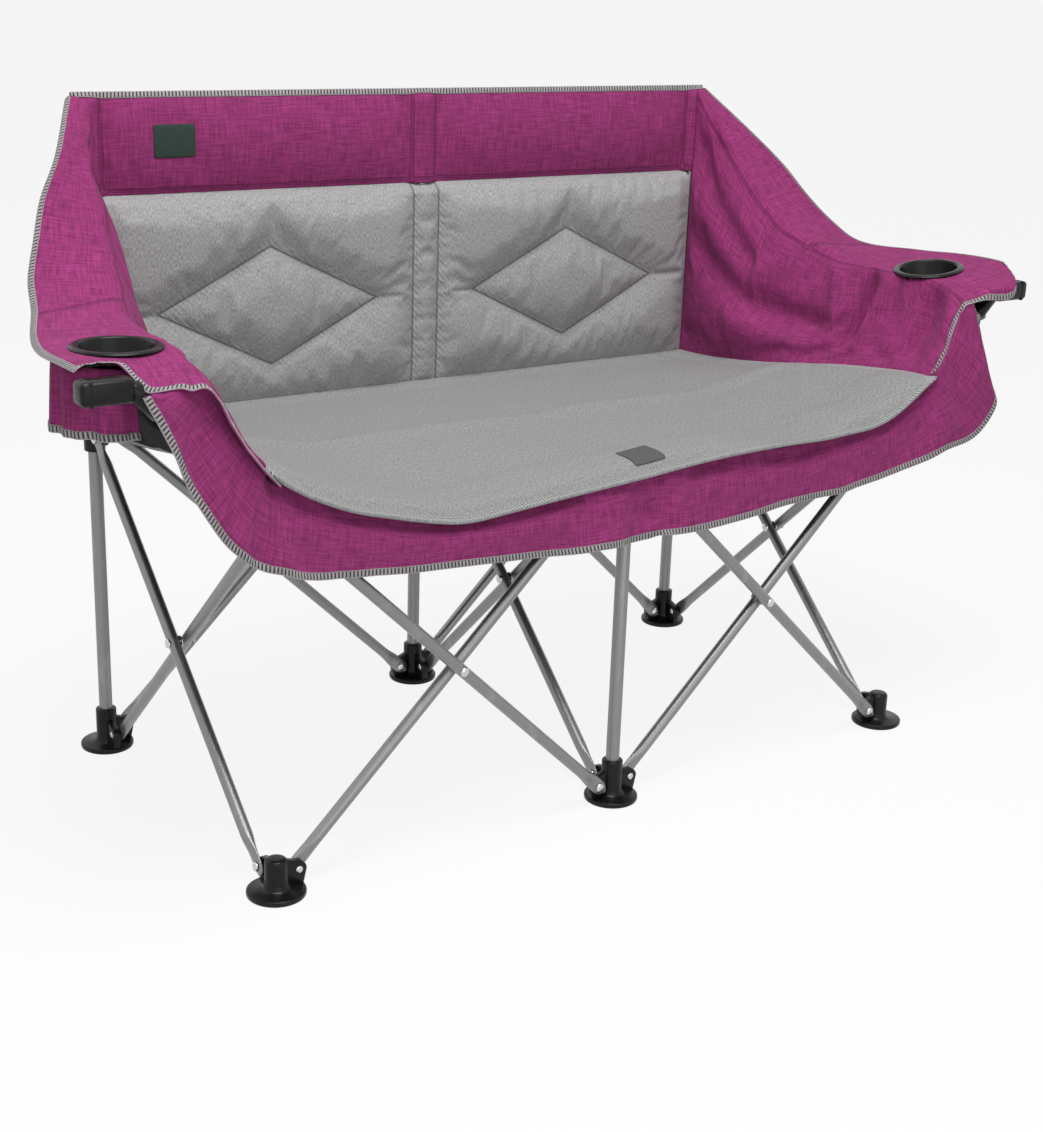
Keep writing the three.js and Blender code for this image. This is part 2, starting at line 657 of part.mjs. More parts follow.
// The share of an arm cover's width at the ridge and at the outer edge.
const RIDGE_AT = ARM_SIDE_CELLS / ARM_ACROSS;
const EDGE_AT = 1 - ARM_HEM_CELLS / ARM_ACROSS;

function armPoint(across, along) {
  const inner = armInner.getPoint(along);
  const ridge = armRidge.getPoint(along);
  const edge = armEdge.getPoint(along);
  if (across <= RIDGE_AT) {
    const share = across / RIDGE_AT;
    const sag = ARM_SAG * Math.sin(Math.PI * share) * smoothstep(along, 0, 0.5);
    return inner.lerp(ridge, share).add(new THREE.Vector3(sag, 0, -sag / 2));
  }
  if (across <= EDGE_AT) return ridge.lerp(edge, (across - RIDGE_AT) / (EDGE_AT - RIDGE_AT));
  return edge.addScaledVector(UP, (-HEM * (across - EDGE_AT)) / (1 - EDGE_AT));
}

// The cover's seen side faces the sitter, the sky and, at the hem, outward.
function armSurface(u, v) {
  return armPoint(u, 1 - v);
}

function armCover() {
  const hole = cylinder(CUP_R + CUP_WALL + CLEAR, ARM_HEIGHT - ARM_BAND, ARM_HEIGHT + ARM_BAND, CUP_SIDES);
  return cut(cloth(armSurface, ARM_ACROSS, ARM_ALONG), hole.translate(CUP_SIDE, CUP_Y, 0));
}

// The cloth wall that hangs from an arm's outer edge round the cup holder, flared and in soft folds.
function sideFlap() {
  const middle = new THREE.Vector2(ARM_OUTER - CLOTH / 2 - FLAP_R, CUP_Y - CLOTH);
  const seen = (u, v) => {
    const angle = THREE.MathUtils.degToRad(lerp(FLAP_FROM, FLAP_TO, u));
    const fold = FLAP_FOLD * Math.sin(FLAP_FOLDS * angle);
    const radius = FLAP_R + (FLAP_FLARE + fold) * (1 - v);
    const x = middle.x + radius * Math.cos(angle);
    const y = middle.y + radius * Math.sin(angle);
    const along = clamp((HALF_DEPTH - y) / (HALF_DEPTH - ARM_Y), 0, 1);
    const ridge = armRidge.getPoint(along);
    const edge = armEdge.getPoint(along);
    const share = clamp((x - ridge.x) / (edge.x - ridge.x), 0, 1);
    const top = Math.min(lerp(ridge.z, edge.z, share), ARM_HEIGHT) - HEM - SEAM;
    return new THREE.Vector3(x, y, top - FLAP_DROP * (1 - v));
  };
  return cloth(seen, FLAP_CELLS, FLAP_ROWS);
}

// The black panel on the outside of an arm's inner side, below the cup holder. It lies on the lower
// half of the cover's own grid, and leaves out the column of cells at each end.
function sidePanel() {
  const outside = offset(armSurface, -2 * CLOTH - SEAM);
  const rows = ARM_SIDE_CELLS / 2;
  const columns = ARM_ALONG - 2;
  const seen = (u, v) => outside((v * rows) / ARM_ACROSS, (1 + u * columns) / ARM_ALONG);
  return cloth(seen, columns, rows);
}

function cupHolder() {
  const outer = CUP_R + CUP_WALL;
  const seat = ARM_HEIGHT + SEAM;
  const top = seat + CUP_FLANGE_THICK;
  const floor = top - CUP_DEPTH;
  return turned(
    [
      [0, floor - CUP_WALL],
      [outer - CUP_TAPER - CUP_ROUND, floor - CUP_WALL],
      [outer - CUP_TAPER, floor + CUP_ROUND - CUP_WALL],
      [outer, seat],
      [outer + CUP_FLANGE, seat],
      [outer + CUP_WALL, top],
      [CUP_R, top - CUP_WALL],
      [CUP_R - CUP_TAPER, floor + CUP_ROUND],
      [CUP_R - CUP_TAPER - CUP_ROUND, floor],
      [0, floor],
    ],
    CUP_SIDES,
  );
}

// The skirt in front of the seat's edge, which climbs to the arm tips at both ends.
const skirtClimb = curve(
  [SEAT_HALF + CLOTH, SKIRT_Y, SKIRT_TOP + SIDE_RISE],
  [lerp(SEAT_HALF, ARM_RIDGE, 0.5), SKIRT_SIDE_Y, lerp(SKIRT_TOP + SIDE_RISE, ARM_HEIGHT, 0.33)],
  [ARM_RIDGE + HEM / 2, SKIRT_SIDE_Y, ARM_HEIGHT - ARM_BAND * 0.28],
  [ARM_REACH - 2 * HEM, SKIRT_SIDE_Y, ARM_HEIGHT - 2 * HEM],
);
const skirtLower = curve(
  [0, SKIRT_Y + SKIRT_BULGE, SKIRT_BOTTOM],
  [SEAT_HALF * 0.9, SKIRT_Y + SKIRT_BULGE, SKIRT_BOTTOM + SKIRT_SWEEP],
  [lerp(SEAT_HALF, ARM_REACH, 0.4), SKIRT_SIDE_Y, SKIRT_BOTTOM + SKIRT_DROP],
  [lerp(SEAT_HALF, ARM_REACH, 0.65), SKIRT_SIDE_Y, lerp(SKIRT_BOTTOM, ARM_HEIGHT, 0.46)],
  [ARM_REACH - HEM, SKIRT_SIDE_Y, ARM_HEIGHT - 4 * HEM],
);
// The share of the skirt's half length that lies in front of the seat.
const BEFORE_SEAT = 0.7;

function skirtUpper(along) {
  if (along > BEFORE_SEAT) return skirtClimb.getPoint((along - BEFORE_SEAT) / (1 - BEFORE_SEAT));
  const x = ((SEAT_HALF + CLOTH) * along) / BEFORE_SEAT;
  return new THREE.Vector3(x, SKIRT_Y, SKIRT_TOP + seatRise(Math.min(x, SEAT_HALF), SEAT_FRONT));
}

function frontSkirt() {
  const seen = (u, v) => {
    const side = Math.sign(u - 0.5);
    const along = Math.abs(2 * u - 1);
    const point = skirtLower.getPoint(along).lerp(skirtUpper(along), v);
    point.y -= SKIRT_BULGE * Math.sin(Math.PI * v);
    return point.setX(side * point.x);
  };
  return cloth(seen, SKIRT_CELLS, SKIRT_ROWS);
}

// Assembly

const EAST = 0;
const NORTH = Math.PI / 2;
const WEST = Math.PI;
const SOUTH = -Math.PI / 2;

// Each corner: its place, the cells that leave it, and what stands there.
const corners = {
  rear_left: { at: [-PITCH, HALF_DEPTH, 0], turns: [EAST, SOUTH] },
  rear_middle: { at: [0, HALF_DEPTH, 0], turns: [EAST, WEST, SOUTH] },
  rear_right: { at: [PITCH, HALF_DEPTH, 0], turns: [WEST, SOUTH] },
  front_left: { at: [-PITCH, -HALF_DEPTH, 0], turns: [EAST, NORTH] },
  front_middle: { at: [0, -HALF_DEPTH, 0], turns: [EAST, WEST, NORTH] },
  front_right: { at: [PITCH, -HALF_DEPTH, 0], turns: [WEST, NORTH] },
};

function rearCorner(name, { at, turns }) {
  return group(
    at,
    0,
    piece(`${name}_foot`, foot(turns, true), blackPlastic),
    piece(`${name}_post`, pipe(POST_R, POST_R - POST_WALL, FOOT_BASE + CLEAR, POST_TOP), steel),
    piece(`${name}_post_plug`, postPlug(), blackPlastic),
    piece(`${name}_slider`, slider(turns), blackPlastic),
  );
}

function frontMiddleCorner({ at, turns }) {
  const rodBottom = HUB_BOTTOM - FOLDED_RISE - ROD_OVERLAP;
  const post = pipe(POST_R, POST_R - POST_WALL, FOOT_BASE + CLEAR, HUB_BOTTOM - CLEAR);
  return group(
    at,
    0,
    piece("front_middle_foot", foot(turns, true), blackPlastic),
    piece("front_middle_post", post, steel),
    piece("front_middle_rod", cylinder(ROD_R, rodBottom, JOINT_HEIGHT - CLEAR, ROUND_SIDES), rivetSteel),
    piece("front_middle_hub", frontHub(turns), blackPlastic),
  );
}

function frontCorner(name, { at, turns }) {
  return group(
    at,
    0,
    piece(`${name}_foot`, foot(turns, false), blackPlastic),
    piece(`${name}_bracket`, cornerBracket(turns), blackPlastic),
  );
}

function frame() {
  const made = new THREE.Group();
  for (const name of ["rear_left", "rear_middle", "rear_right"]) made.add(rearCorner(name, corners[name]));
  made.add(frontMiddleCorner(corners.front_middle));
  for (const name of ["front_left", "front_right"]) made.add(frontCorner(name, corners[name]));
  for (const [side, sign] of [["left", -1], ["right", 1]]) {
    const x = (sign * PITCH) / 2;
    const backNames = {
      risingLeft: `back_${side}_tube_rising_left`,
      risingRight: `back_${side}_tube_rising_right`,
      rivet: `back_${side}_rivet`,
    };
    const frontNames = {
      risingLeft: sign < 0 ? "left_arm_tube" : "front_right_tube",
      risingRight: sign < 0 ? "front_left_tube" : "right_arm_tube",
      rivet: `front_${side}_rivet`,
      cap: `${side}_arm_cap`,
    };
    made.add(group([x, HALF_DEPTH, 0], 0, scissorCell(backNames)));
    made.add(group([x, -HALF_DEPTH, 0], 0, scissorCell(frontNames, sign)));
  }
  for (const [place, x] of [["left_side", -PITCH], ["middle", 0], ["right_side", PITCH]]) {
    const names = {
      risingLeft: `${place}_tube_rising_forward`,
      risingRight: `${place}_tube_rising_back`,
      rivet: `${place}_rivet`,
    };
    made.add(group([x, 0, 0], NORTH, scissorCell(names)));
  }
  return made;
}

function armSet(side) {
  const cup = piece(`${side}_cup_holder`, cupHolder(), blackPlastic);
  cup.position.set(CUP_SIDE, CUP_Y, 0);
  return [
    piece(`${side}_arm_cover`, armCover(), magentaCloth),
    piece(`${side}_side_flap`, sideFlap(), magentaCloth),
    piece(`${side}_side_panel`, sidePanel(), blackCloth),
    cup,
  ];
}

function cover() {
  const split = SEAT_REAR + SEAT_SPLIT;
  const rearRows = evenRows(0, split - SEAM / 2, 6);
  const frontRows = evenRows(split + SEAM / 2, SEAT_LEVEL, 6);
  const rollRows = evenRows(SEAT_LEVEL, SEAT_LENGTH - FRONT_DROP, 4);
  const made = new THREE.Group();
  made.add(
    piece("back_band", backBand(), magentaCloth),
    piece("back_pad", backPad(), greyFleece),
    piece("seat_rear", seatPad(rearRows), greyFleece),
    piece("seat_front", seatPad([...frontRows, ...rollRows.slice(1), SEAT_LENGTH]), greyFleece),
    piece("front_skirt", frontSkirt(), magentaCloth),
  );
  const left = new THREE.Group();
  left.scale.x = -1;
  left.add(...armSet("left"));
  made.add(left, ...armSet("right"));
  return made;
}

const loveseat = new THREE.Group();
loveseat.add(frame(), cover());

export default loveseat;
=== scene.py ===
"""Dresses a folding camping loveseat: coated steel scissor frame, moulded fittings and a padded cover."""

import json
import math

import bmesh
import bpy
from mathutils import Matrix, Vector, noise


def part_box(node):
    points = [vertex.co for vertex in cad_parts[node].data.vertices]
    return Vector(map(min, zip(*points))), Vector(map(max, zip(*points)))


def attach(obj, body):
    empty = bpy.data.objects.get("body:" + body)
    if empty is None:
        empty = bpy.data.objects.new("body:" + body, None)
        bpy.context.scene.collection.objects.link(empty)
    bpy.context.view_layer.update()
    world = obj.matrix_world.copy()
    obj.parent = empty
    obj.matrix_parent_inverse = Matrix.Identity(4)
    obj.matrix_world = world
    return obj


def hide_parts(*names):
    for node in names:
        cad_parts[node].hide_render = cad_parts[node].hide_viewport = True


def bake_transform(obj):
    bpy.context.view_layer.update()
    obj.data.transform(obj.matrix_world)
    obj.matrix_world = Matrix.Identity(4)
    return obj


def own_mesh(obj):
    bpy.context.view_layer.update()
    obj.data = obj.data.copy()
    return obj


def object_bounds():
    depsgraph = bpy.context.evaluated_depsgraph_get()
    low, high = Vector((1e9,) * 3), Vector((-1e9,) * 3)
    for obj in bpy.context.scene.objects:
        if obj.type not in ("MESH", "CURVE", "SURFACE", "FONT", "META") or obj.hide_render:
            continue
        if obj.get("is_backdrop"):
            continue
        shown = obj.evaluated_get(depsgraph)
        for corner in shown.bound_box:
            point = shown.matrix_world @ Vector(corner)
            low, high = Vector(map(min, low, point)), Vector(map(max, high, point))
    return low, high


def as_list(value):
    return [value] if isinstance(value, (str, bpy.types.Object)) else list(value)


bl_info = {
    "name": "Folding Camping Loveseat",
    "version": (1, 0, 0),
    "blender": (4, 5, 0),
    "location": "3D View > Sidebar > Loveseat",
    "description": "Builds the tubes, fittings and padded cover of a folding double camp chair",
    "category": "Object",
}

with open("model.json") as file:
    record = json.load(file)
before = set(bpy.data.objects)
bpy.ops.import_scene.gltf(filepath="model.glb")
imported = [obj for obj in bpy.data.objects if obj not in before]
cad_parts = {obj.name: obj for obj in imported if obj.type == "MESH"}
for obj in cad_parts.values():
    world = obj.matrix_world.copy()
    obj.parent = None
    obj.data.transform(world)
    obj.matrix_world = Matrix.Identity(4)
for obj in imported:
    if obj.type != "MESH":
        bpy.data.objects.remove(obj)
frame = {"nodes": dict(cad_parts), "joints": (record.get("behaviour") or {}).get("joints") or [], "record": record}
CAD_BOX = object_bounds()
JOINTS = {joint["name"]: joint for joint in frame["joints"]}


def low(node):
    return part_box(node)[0]


def high(node):
    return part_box(node)[1]


def middle(node):
    return (low(node) + high(node)) / 2


def pivot(joint):
    return Vector(JOINTS[joint]["pos_m"])


def length_setting(name, description, default):
    return bpy.props.FloatProperty(
        name=name, description=description, default=default, unit="LENGTH", precision=4
    )


def share_setting(name, description, default):
    return bpy.props.FloatProperty(name=name, description=description, default=default, min=0, max=1)


def colour_setting(name, description, default):
    return bpy.props.FloatVectorProperty(
        name=name, description=description, default=default, subtype="COLOR", size=3, min=0, max=1
    )


class FrameSizes(bpy.types.PropertyGroup):
    """Sizes of the steel frame and its fittings"""

    pitch: length_setting("Pitch", "Between neighbouring corners", middle("rear_right_post").x)
    depth: length_setting("Half depth", "From the middle to the rear posts", middle("rear_right_post").y)
    foot_pivot: length_setting("Foot pivot", "Height of the lower pivots", pivot("fold").z)
    joint_height: length_setting(
        "Joint height", "Height of the upper pivots", pivot("front_middle_hub_pivot").z
    )
    pivot_offset: length_setting(
        "Pivot offset", "From a corner's axis to its pivots", middle("rear_right_post").y - pivot("fold").y
    )
    tube_radius: length_setting(
        "Tube radius", "Outside radius of a scissor tube",
        (high("middle_tube_rising_back").x - low("middle_tube_rising_back").x) / 2,
    )
    tube_side: length_setting(
        "Tube side", "From a cell's plane to its tubes", abs(middle("middle_tube_rising_back").x)
    )
    pressed: length_setting("Pressed end", "Half the thickness of a tube's pressed end", 0.0035)
    tube_end: length_setting("Tube end", "From a pivot to a tube's rounded end", 0.014)
    press_length: length_setting("Press length", "Over which a pressed end turns round", 0.030)
    rivet_radius: length_setting("Rivet head", "Radius of a rivet's head", 0.0065)
    rivet_height: length_setting("Rivet height", "Height of a rivet's head", 0.0034)
    ear_radius: length_setting("Ear radius", "Round end of an ear", 0.011)
    ear_half: length_setting("Ear half", "Half the thickness of an ear", 0.0052)
    socket_radius: length_setting("Socket radius", "Outside of a socket or slider", 0.0148)
    cap_sleeve: length_setting("Cap sleeve", "Length of a cap's sleeve on its tube", 0.045)


class CoverSizes(bpy.types.PropertyGroup):
    """Sizes of the padded cover"""

    cloth: length_setting("Cloth", "Thickness of a cloth panel", 0.003)
    fleece: length_setting("Fleece", "Thickness of a fleece pad", 0.008)
    grid: length_setting("Grid", "Spacing of a panel's mesh", 0.009)
    tape: length_setting("Tape", "Visible width of the edge tape", 0.009)
    tape_proud: length_setting("Tape stand", "How far the tape stands off the cloth", 0.0012)
    spare: share_setting("Spare cloth", "Extra cloth between the seams, which makes the folds", 0.02)
    puff: share_setting("Quilt fullness", "Extra cloth between the quilted seams of the back", 0.042)
    quilt_width: length_setting("Quilt width", "Half the width of a quilted diamond", 0.176)
    quilt_height: length_setting("Quilt height", "Half the height of a quilted diamond", 0.085)
    strip: length_setting("Strip", "Half the width of the sewn strip at the middle", 0.022)


class Finishes(bpy.types.PropertyGroup):
    """Colours of the cover and the frame"""

    cloth: colour_setting("Cloth", "Melange cloth", (0.275, 0.034, 0.148))
    fleece: colour_setting("Fleece", "Brushed fleece of the back", (0.35, 0.35, 0.35))
    # The seat's fleece is the back's fleece made darker: painted shade, as the level seat takes more of the
    # overhead light than the upright back
    seat: colour_setting("Seat", "Brushed fleece of the seat", (0.29, 0.29, 0.29))
    lining: colour_setting("Lining", "Black cloth of the outsides", (0.012, 0.012, 0.013))
    tape: colour_setting("Tape", "Edge tape", (0.36, 0.33, 0.34))
    thread: colour_setting("Thread", "Dark thread of the edge stitches", (0.03, 0.027, 0.03))
    steel: colour_setting("Steel", "Coated tube", (0.24, 0.243, 0.247))
    rivet: colour_setting("Rivet", "Bare rivets", (0.62, 0.63, 0.64))
    plastic: colour_setting("Plastic", "Moulded plastic", (0.012, 0.012, 0.013))
    patch: colour_setting("Patch", "Bare patch on the back", (0.010, 0.028, 0.020))


# Curves and small helpers


def lerp(a, b, share):
    return a + (b - a) * share


def ease(value, start, end):
    share = min(max((value - start) / (end - start), 0), 1)
    return share * share * (3 - 2 * share)


def spline(*points):
    """A smooth curve through points, as a function of a share from 0 to 1."""
    knots = [Vector(point) for point in points]
    knots = [2 * knots[0] - knots[1], *knots, 2 * knots[-1] - knots[-2]]

    def at(share):
        place = min(max(share, 0), 1) * (len(knots) - 3)
        index = min(int(place), len(knots) - 4)
        t = place - index
        a, b, c, d = knots[index : index + 4]
        return 0.5 * (2 * b + (c - a) * t + (2 * a - 5 * b + 4 * c - d) * t**2 + (3 * b - a - 3 * c + d) * t**3)

    return at


def stops(length, spacing, tape=0):
    """Shares of a length for a grid's lines, with a line at the inner edge of a tape at its end."""
    inner = length - tape
    count = max(2, round(inner / spacing))
    lines = [inner * index / count for index in range(count + 1)]
    if tape:
        lines.append(length)
    return [line / length for line in lines]


def measured(points):
    """Distances walked along a row of points."""
    walked = [0]
    for one, other in zip(points, points[1:]):
        walked.append(walked[-1] + (other - one).length)
    return walked


def bracket(table, place):
    """The rows of a table before and after a place, and the share between them."""
    last = len(table) - 2
    index = next((i for i in range(last) if place <= table[i + 1][0]), last)
    (start, *before), (end, *after) = table[index], table[index + 1]
    return before, after, (place - start) / (end - start)


# Shader maths


SEEN_RAYS = ("Is Camera Ray", "Is Glossy Ray", "Is Transmission Ray")


class Value:
    """A shader socket on which Python arithmetic adds Math nodes."""

    def __init__(self, finish, socket):
        self.finish = finish
        self.socket = socket

    def math(self, operation, *others):
        return self.finish.node("ShaderNodeMath", {"operation": operation}, [self, *others])

    def __add__(self, other):
        return self.math("ADD", other)

    __radd__ = __add__

    def __sub__(self, other):
        return self.math("SUBTRACT", other)

    def __mul__(self, other):
        return self.math("MULTIPLY", other)

    def __truediv__(self, other):
        return self.math("DIVIDE", other)

    def __abs__(self):
        return self.math("ABSOLUTE")

    def __lt__(self, other):
        return self.math("LESS_THAN", other)

    def __gt__(self, other):
        return self.math("GREATER_THAN", other)


class Finish:
    """A material whose constants sit on the shader's own sockets and whose patterns come from nodes."""

    def __init__(self, name, **constants):
        self.material = bpy.data.materials.new(name)
        self.material.use_nodes = True
        self.tree = self.material.node_tree
        self.shader = self.tree.nodes["Principled BSDF"]
        for socket, value in constants.items():
            self.shader.inputs[socket.replace("_", " ")].default_value = value

    def node(self, kind, settings=None, inputs=(), output=0):
        made = self.tree.nodes.new(kind)
        for key, value in (settings or {}).items():
            if key == "stops":
                for stop in list(made.color_ramp.elements)[1:]:
                    made.color_ramp.elements.remove(stop)
                made.color_ramp.elements[0].position = value[0][0]
                for position, _ in value[1:]:
                    made.color_ramp.elements.new(position)
                for stop, (_, grey) in zip(made.color_ramp.elements, value):
                    stop.color = (grey, grey, grey, 1)
            else:
                setattr(made, key, value)
        pairs = inputs.items() if isinstance(inputs, dict) else enumerate(inputs)
        for key, value in pairs:
            if isinstance(value, Value):
                self.tree.links.new(value.socket, made.inputs[key])
            else:
                made.inputs[key].default_value = value
        return Value(self, made.outputs[output])

    def feed(self, socket, value):
        self.tree.links.new(value.socket, self.shader.inputs[socket])

    def cloth_place(self):
        """Where a point lies on its cloth, in metres."""
        return self.node("ShaderNodeUVMap", {"uv_map": "cloth"})

    def object_place(self):
        return self.node("ShaderNodeTexCoord", output="Object")

    def seam(self):
        """Distance to the nearest sewn line, in metres."""
        return abs(self.node("ShaderNodeAttribute", {"attribute_name": "seam"}, output="Fac"))

    def split(self, place):
        return [self.node("ShaderNodeSeparateXYZ", None, [place], axis) for axis in range(3)]

    def scaled(self, place, *scale):
        return self.node("ShaderNodeMapping", None, {"Vector": place, "Scale": scale})

    def noise(self, place, scale, detail=2, rough=0.5):
        inputs = {"Vector": place, "Scale": scale, "Detail": detail, "Roughness": rough}
        return self.node("ShaderNodeTexNoise", None, inputs)

    def ramp(self, value, *marks):
        return self.node("ShaderNodeValToRGB", {"stops": marks}, [value])

    def mix(self, share, one, other):
        colours = [(*c, 1) if isinstance(c, tuple) else c for c in (one, other)]
        return self.node("ShaderNodeMixRGB", None, [share, *colours])

    def lift_for_viewer(self, share):
        """Shows the surface nearer white to the eye and in reflections, without lighting anything."""
        seen = [self.node("ShaderNodeLightPath", output=ray) for ray in SEEN_RAYS]
        factor = seen[0].math("MAXIMUM", seen[1]).math("MAXIMUM", seen[2]) * share
        glow = self.node("ShaderNodeEmission", None, {"Color": (1, 1, 1, 1), "Strength": 1})
        body = Value(self, self.shader.outputs[0])
        whole = self.node("ShaderNodeMixShader", None, [factor, body, glow])
        self.tree.links.new(whole.socket, self.tree.nodes["Material Output"].inputs["Surface"])

    def bump(self, height, strength, distance):
        inputs = {"Height": height, "Strength": strength, "Distance": distance}
        self.feed("Normal", self.node("ShaderNodeBump", None, inputs))


def shade(colour, factor):
    return tuple(min(1, channel * factor) for channel in colour)


def melange_cloth(name, colour):
    """Woven cloth of mixed yarns: lighter and darker threads both ways, thick and thin."""
    finish = Finish(name, Roughness=0.9, Specular_IOR_Level=0.2, Sheen_Weight=0.03, Sheen_Roughness=0.5)
    place = finish.cloth_place()
    warp = finish.noise(finish.scaled(place, 380, 30, 1), 1, 3, 0.6)
    weft = finish.noise(finish.scaled(place, 30, 380, 1), 1, 3, 0.6)
    broad = finish.noise(finish.scaled(place, 9, 9, 1), 1, 3)
    threads = warp * 0.5 + weft * 0.5
    lights = finish.ramp(threads, (0.36, 0), (0.50, 0.42), (0.66, 1))
    colours = finish.mix(lights, shade(colour, 0.58), shade(colour, 1.62))
    colours = finish.mix(broad * 0.35, colours, shade(colour, 0.75))
    u, v, _ = finish.split(place)
    weave = (u * 3900).math("SINE") * (v * 3900).math("SINE")
    gap = finish.seam()
    # Either side of a sewn line the cloth is darkened: painted shade in the seam's groove, which the bump also
    # sinks
    groove_and_shade = finish.ramp(gap / 0.0042, (0, 1), (0.4, 0.8), (1, 0))
    dashes = (gap < 0.0007) * (((u + v) / 0.0042).math("FRACT") < 0.7)
    colours = finish.mix(groove_and_shade * 0.75, colours, shade(colour, 0.3))
    finish.feed("Base Color", finish.mix(dashes * 0.6, colours, shade(colour, 1.5)))
    finish.bump(threads * 0.7 + weave * 0.15 - groove_and_shade * 1.6 + dashes * 0.5, 0.35, 0.0012)
    return finish.material


def brushed_fleece(name, colour, overlocked=False):
    """Short dense nap in flecks of two greys, with quilted lines or an overlocked edge."""
    finish = Finish(name, Roughness=1.0, Specular_IOR_Level=0.2, Sheen_Weight=0.06, Sheen_Roughness=0.6)
    place = finish.cloth_place()
    fleck = finish.noise(finish.scaled(place, 560, 210, 1), 1, 3, 0.65)
    nap = finish.noise(finish.scaled(place, 60, 60, 1), 1, 4, 0.6)
    worn = finish.noise(finish.scaled(place, 7, 7, 1), 1, 2)
    light = finish.ramp(fleck, (0.33, 0), (0.67, 1))
    colours = finish.mix(light, shade(colour, 0.64), shade(colour, 1.36))
    colours = finish.mix(worn * 0.3, colours, shade(colour, 0.86))
    u, v, _ = finish.split(place)
    gap = finish.seam()
    line = finish.ramp(gap / 0.0022, (0.25, 1), (1, 0))
    drawn_in = finish.ramp(gap / 0.016, (0, 1), (1, 0))
    pucker = ((u + v) * 620).math("SINE") * drawn_in
    if overlocked:
        rim = gap < 0.0045
        thread = (((u + v) / 0.0046).math("FRACT") < 0.55) * rim
        colours = finish.mix(rim * 0.6, colours, shade(colour, 0.4))
        finish.feed("Base Color", finish.mix(thread * 0.85, colours, shade(colour, 1.8)))
    else:
        # The quilted lines are darkened: painted shade in the quilting's grooves, which the bump also sinks
        finish.feed("Base Color", finish.mix(line * 0.75, colours, shade(colour, 0.3)))
    finish.bump(fleck * 0.6 + nap * 0.8 - line * 1.5 + pucker * 0.5, 0.5, 0.0016)
    return finish.material


def edged_fleece(name, colour):
    return brushed_fleece(name, colour, overlocked=True)


def black_cloth(name, colour):
    """Plain black lining with a fine weave."""
    finish = Finish(name, Roughness=0.9, Specular_IOR_Level=0.1, Sheen_Weight=0.03)
    place = finish.cloth_place()
    u, v, _ = finish.split(place)
    weave = (u * 2600).math("SINE") * (v * 2600).math("SINE")
    fade = finish.noise(finish.scaled(place, 30, 30, 1), 1, 3)
    finish.feed("Base Color", finish.mix(fade, shade(colour, 0.5), shade(colour, 1.2)))
    finish.bump(weave + fade, 0.25, 0.0008)
    return finish.material


def stitched_tape(name, tape, thread):
    """Grosgrain edge tape under a ladder of overlock stitches. u runs along the tape and v across it."""
    finish = Finish(name, Roughness=0.9, Sheen_Weight=0.1)
    u, v, _ = finish.split(finish.cloth_place())
    ribs = (u * 4200).math("SINE")
    step = ((u + v * 0.0018) / 0.0052).math("FRACT")
    inside = (v > 0.18) * (v < 0.86)
    stitch = (step < 0.42) * inside
    chain = (abs(v - 0.9) < 0.05) * (step < 0.8)
    fade = finish.noise(finish.scaled(finish.cloth_place(), 40, 2, 1), 1, 2)
    plain = finish.mix(fade, shade(tape, 0.75), shade(tape, 1.25))
    finish.feed("Base Color", finish.mix(stitch, finish.mix(chain, plain, shade(tape, 0.45)), thread))
    finish.bump(ribs * 0.1 + chain * 0.5 - stitch * 0.8, 0.6, 0.0007)
    return finish.material


def coated_steel(name, colour):
    """Satin grey coating with faint orange peel and small rubs."""
    finish = Finish(name, Metallic=0.85, Coat_Weight=0.15, Coat_Roughness=0.25)
    place = finish.object_place()
    peel = finish.noise(place, 900, 2)
    rub = finish.noise(finish.scaled(place, 40, 40, 12), 1, 4, 0.6)
    worn = finish.ramp(rub, (0.56, 0), (0.72, 1))
    finish.feed("Base Color", finish.mix(worn * 0.5, shade(colour, 1.0), shade(colour, 1.5)))
    finish.feed("Roughness", 0.30 + rub * 0.16)
    finish.bump(peel, 0.08, 0.0004)
    return finish.material


def bare_steel(name, colour):
    """Zinc-bright rivets with fine turning marks."""
    finish = Finish(name, Metallic=1.0)
    marks = finish.noise(finish.scaled(finish.object_place(), 500, 500, 500), 1, 3)
    finish.feed("Base Color", finish.mix(marks, shade(colour, 0.75), shade(colour, 1.1)))
    finish.feed("Roughness", 0.22 + marks * 0.2)
    finish.bump(marks, 0.1, 0.0003)
    return finish.material


def moulded_plastic(name, colour):
    """Black moulded plastic with a fine spark grain, a little dusty."""
    finish = Finish(name, Specular_IOR_Level=0.2)
    place = finish.object_place()
    grain = finish.noise(place, 1400, 2)
    dust = finish.noise(place, 45, 4, 0.6)
    finish.feed("Base Color", finish.mix(dust, shade(colour, 0.4), shade(colour, 1.0)))
    finish.feed("Roughness", 0.18 + dust * 0.2)
    finish.bump(grain, 0.15, 0.0004)
    return finish.material


def woven_patch(name, colour):
    """A plain woven patch."""
    finish = Finish(name, Roughness=0.8)
    place = finish.cloth_place()
    u, v, _ = finish.split(place)
    ribs = (u * 2200).math("SINE") * (v * 4400).math("SINE")
    fade = finish.noise(finish.scaled(place, 300, 300, 1), 1, 2)
    finish.feed("Base Color", finish.mix(fade, shade(colour, 0.8), shade(colour, 1.5)))
    finish.bump(ribs, 0.3, 0.0006)
    return finish.material


MAKERS = {
    "melange cloth": (melange_cloth, "cloth"),
    "brushed fleece": (brushed_fleece, "fleece"),
    # The seat fleece's darker tone is painted shade on the same fleece as the back
    "seat fleece": (edged_fleece, "seat"),
    "black lining": (black_cloth, "lining"),
    "coated steel": (coated_steel, "steel"),
    "bare steel": (bare_steel, "rivet"),
    "moulded plastic": (moulded_plastic, "plastic"),
    "green patch": (woven_patch, "patch"),
}


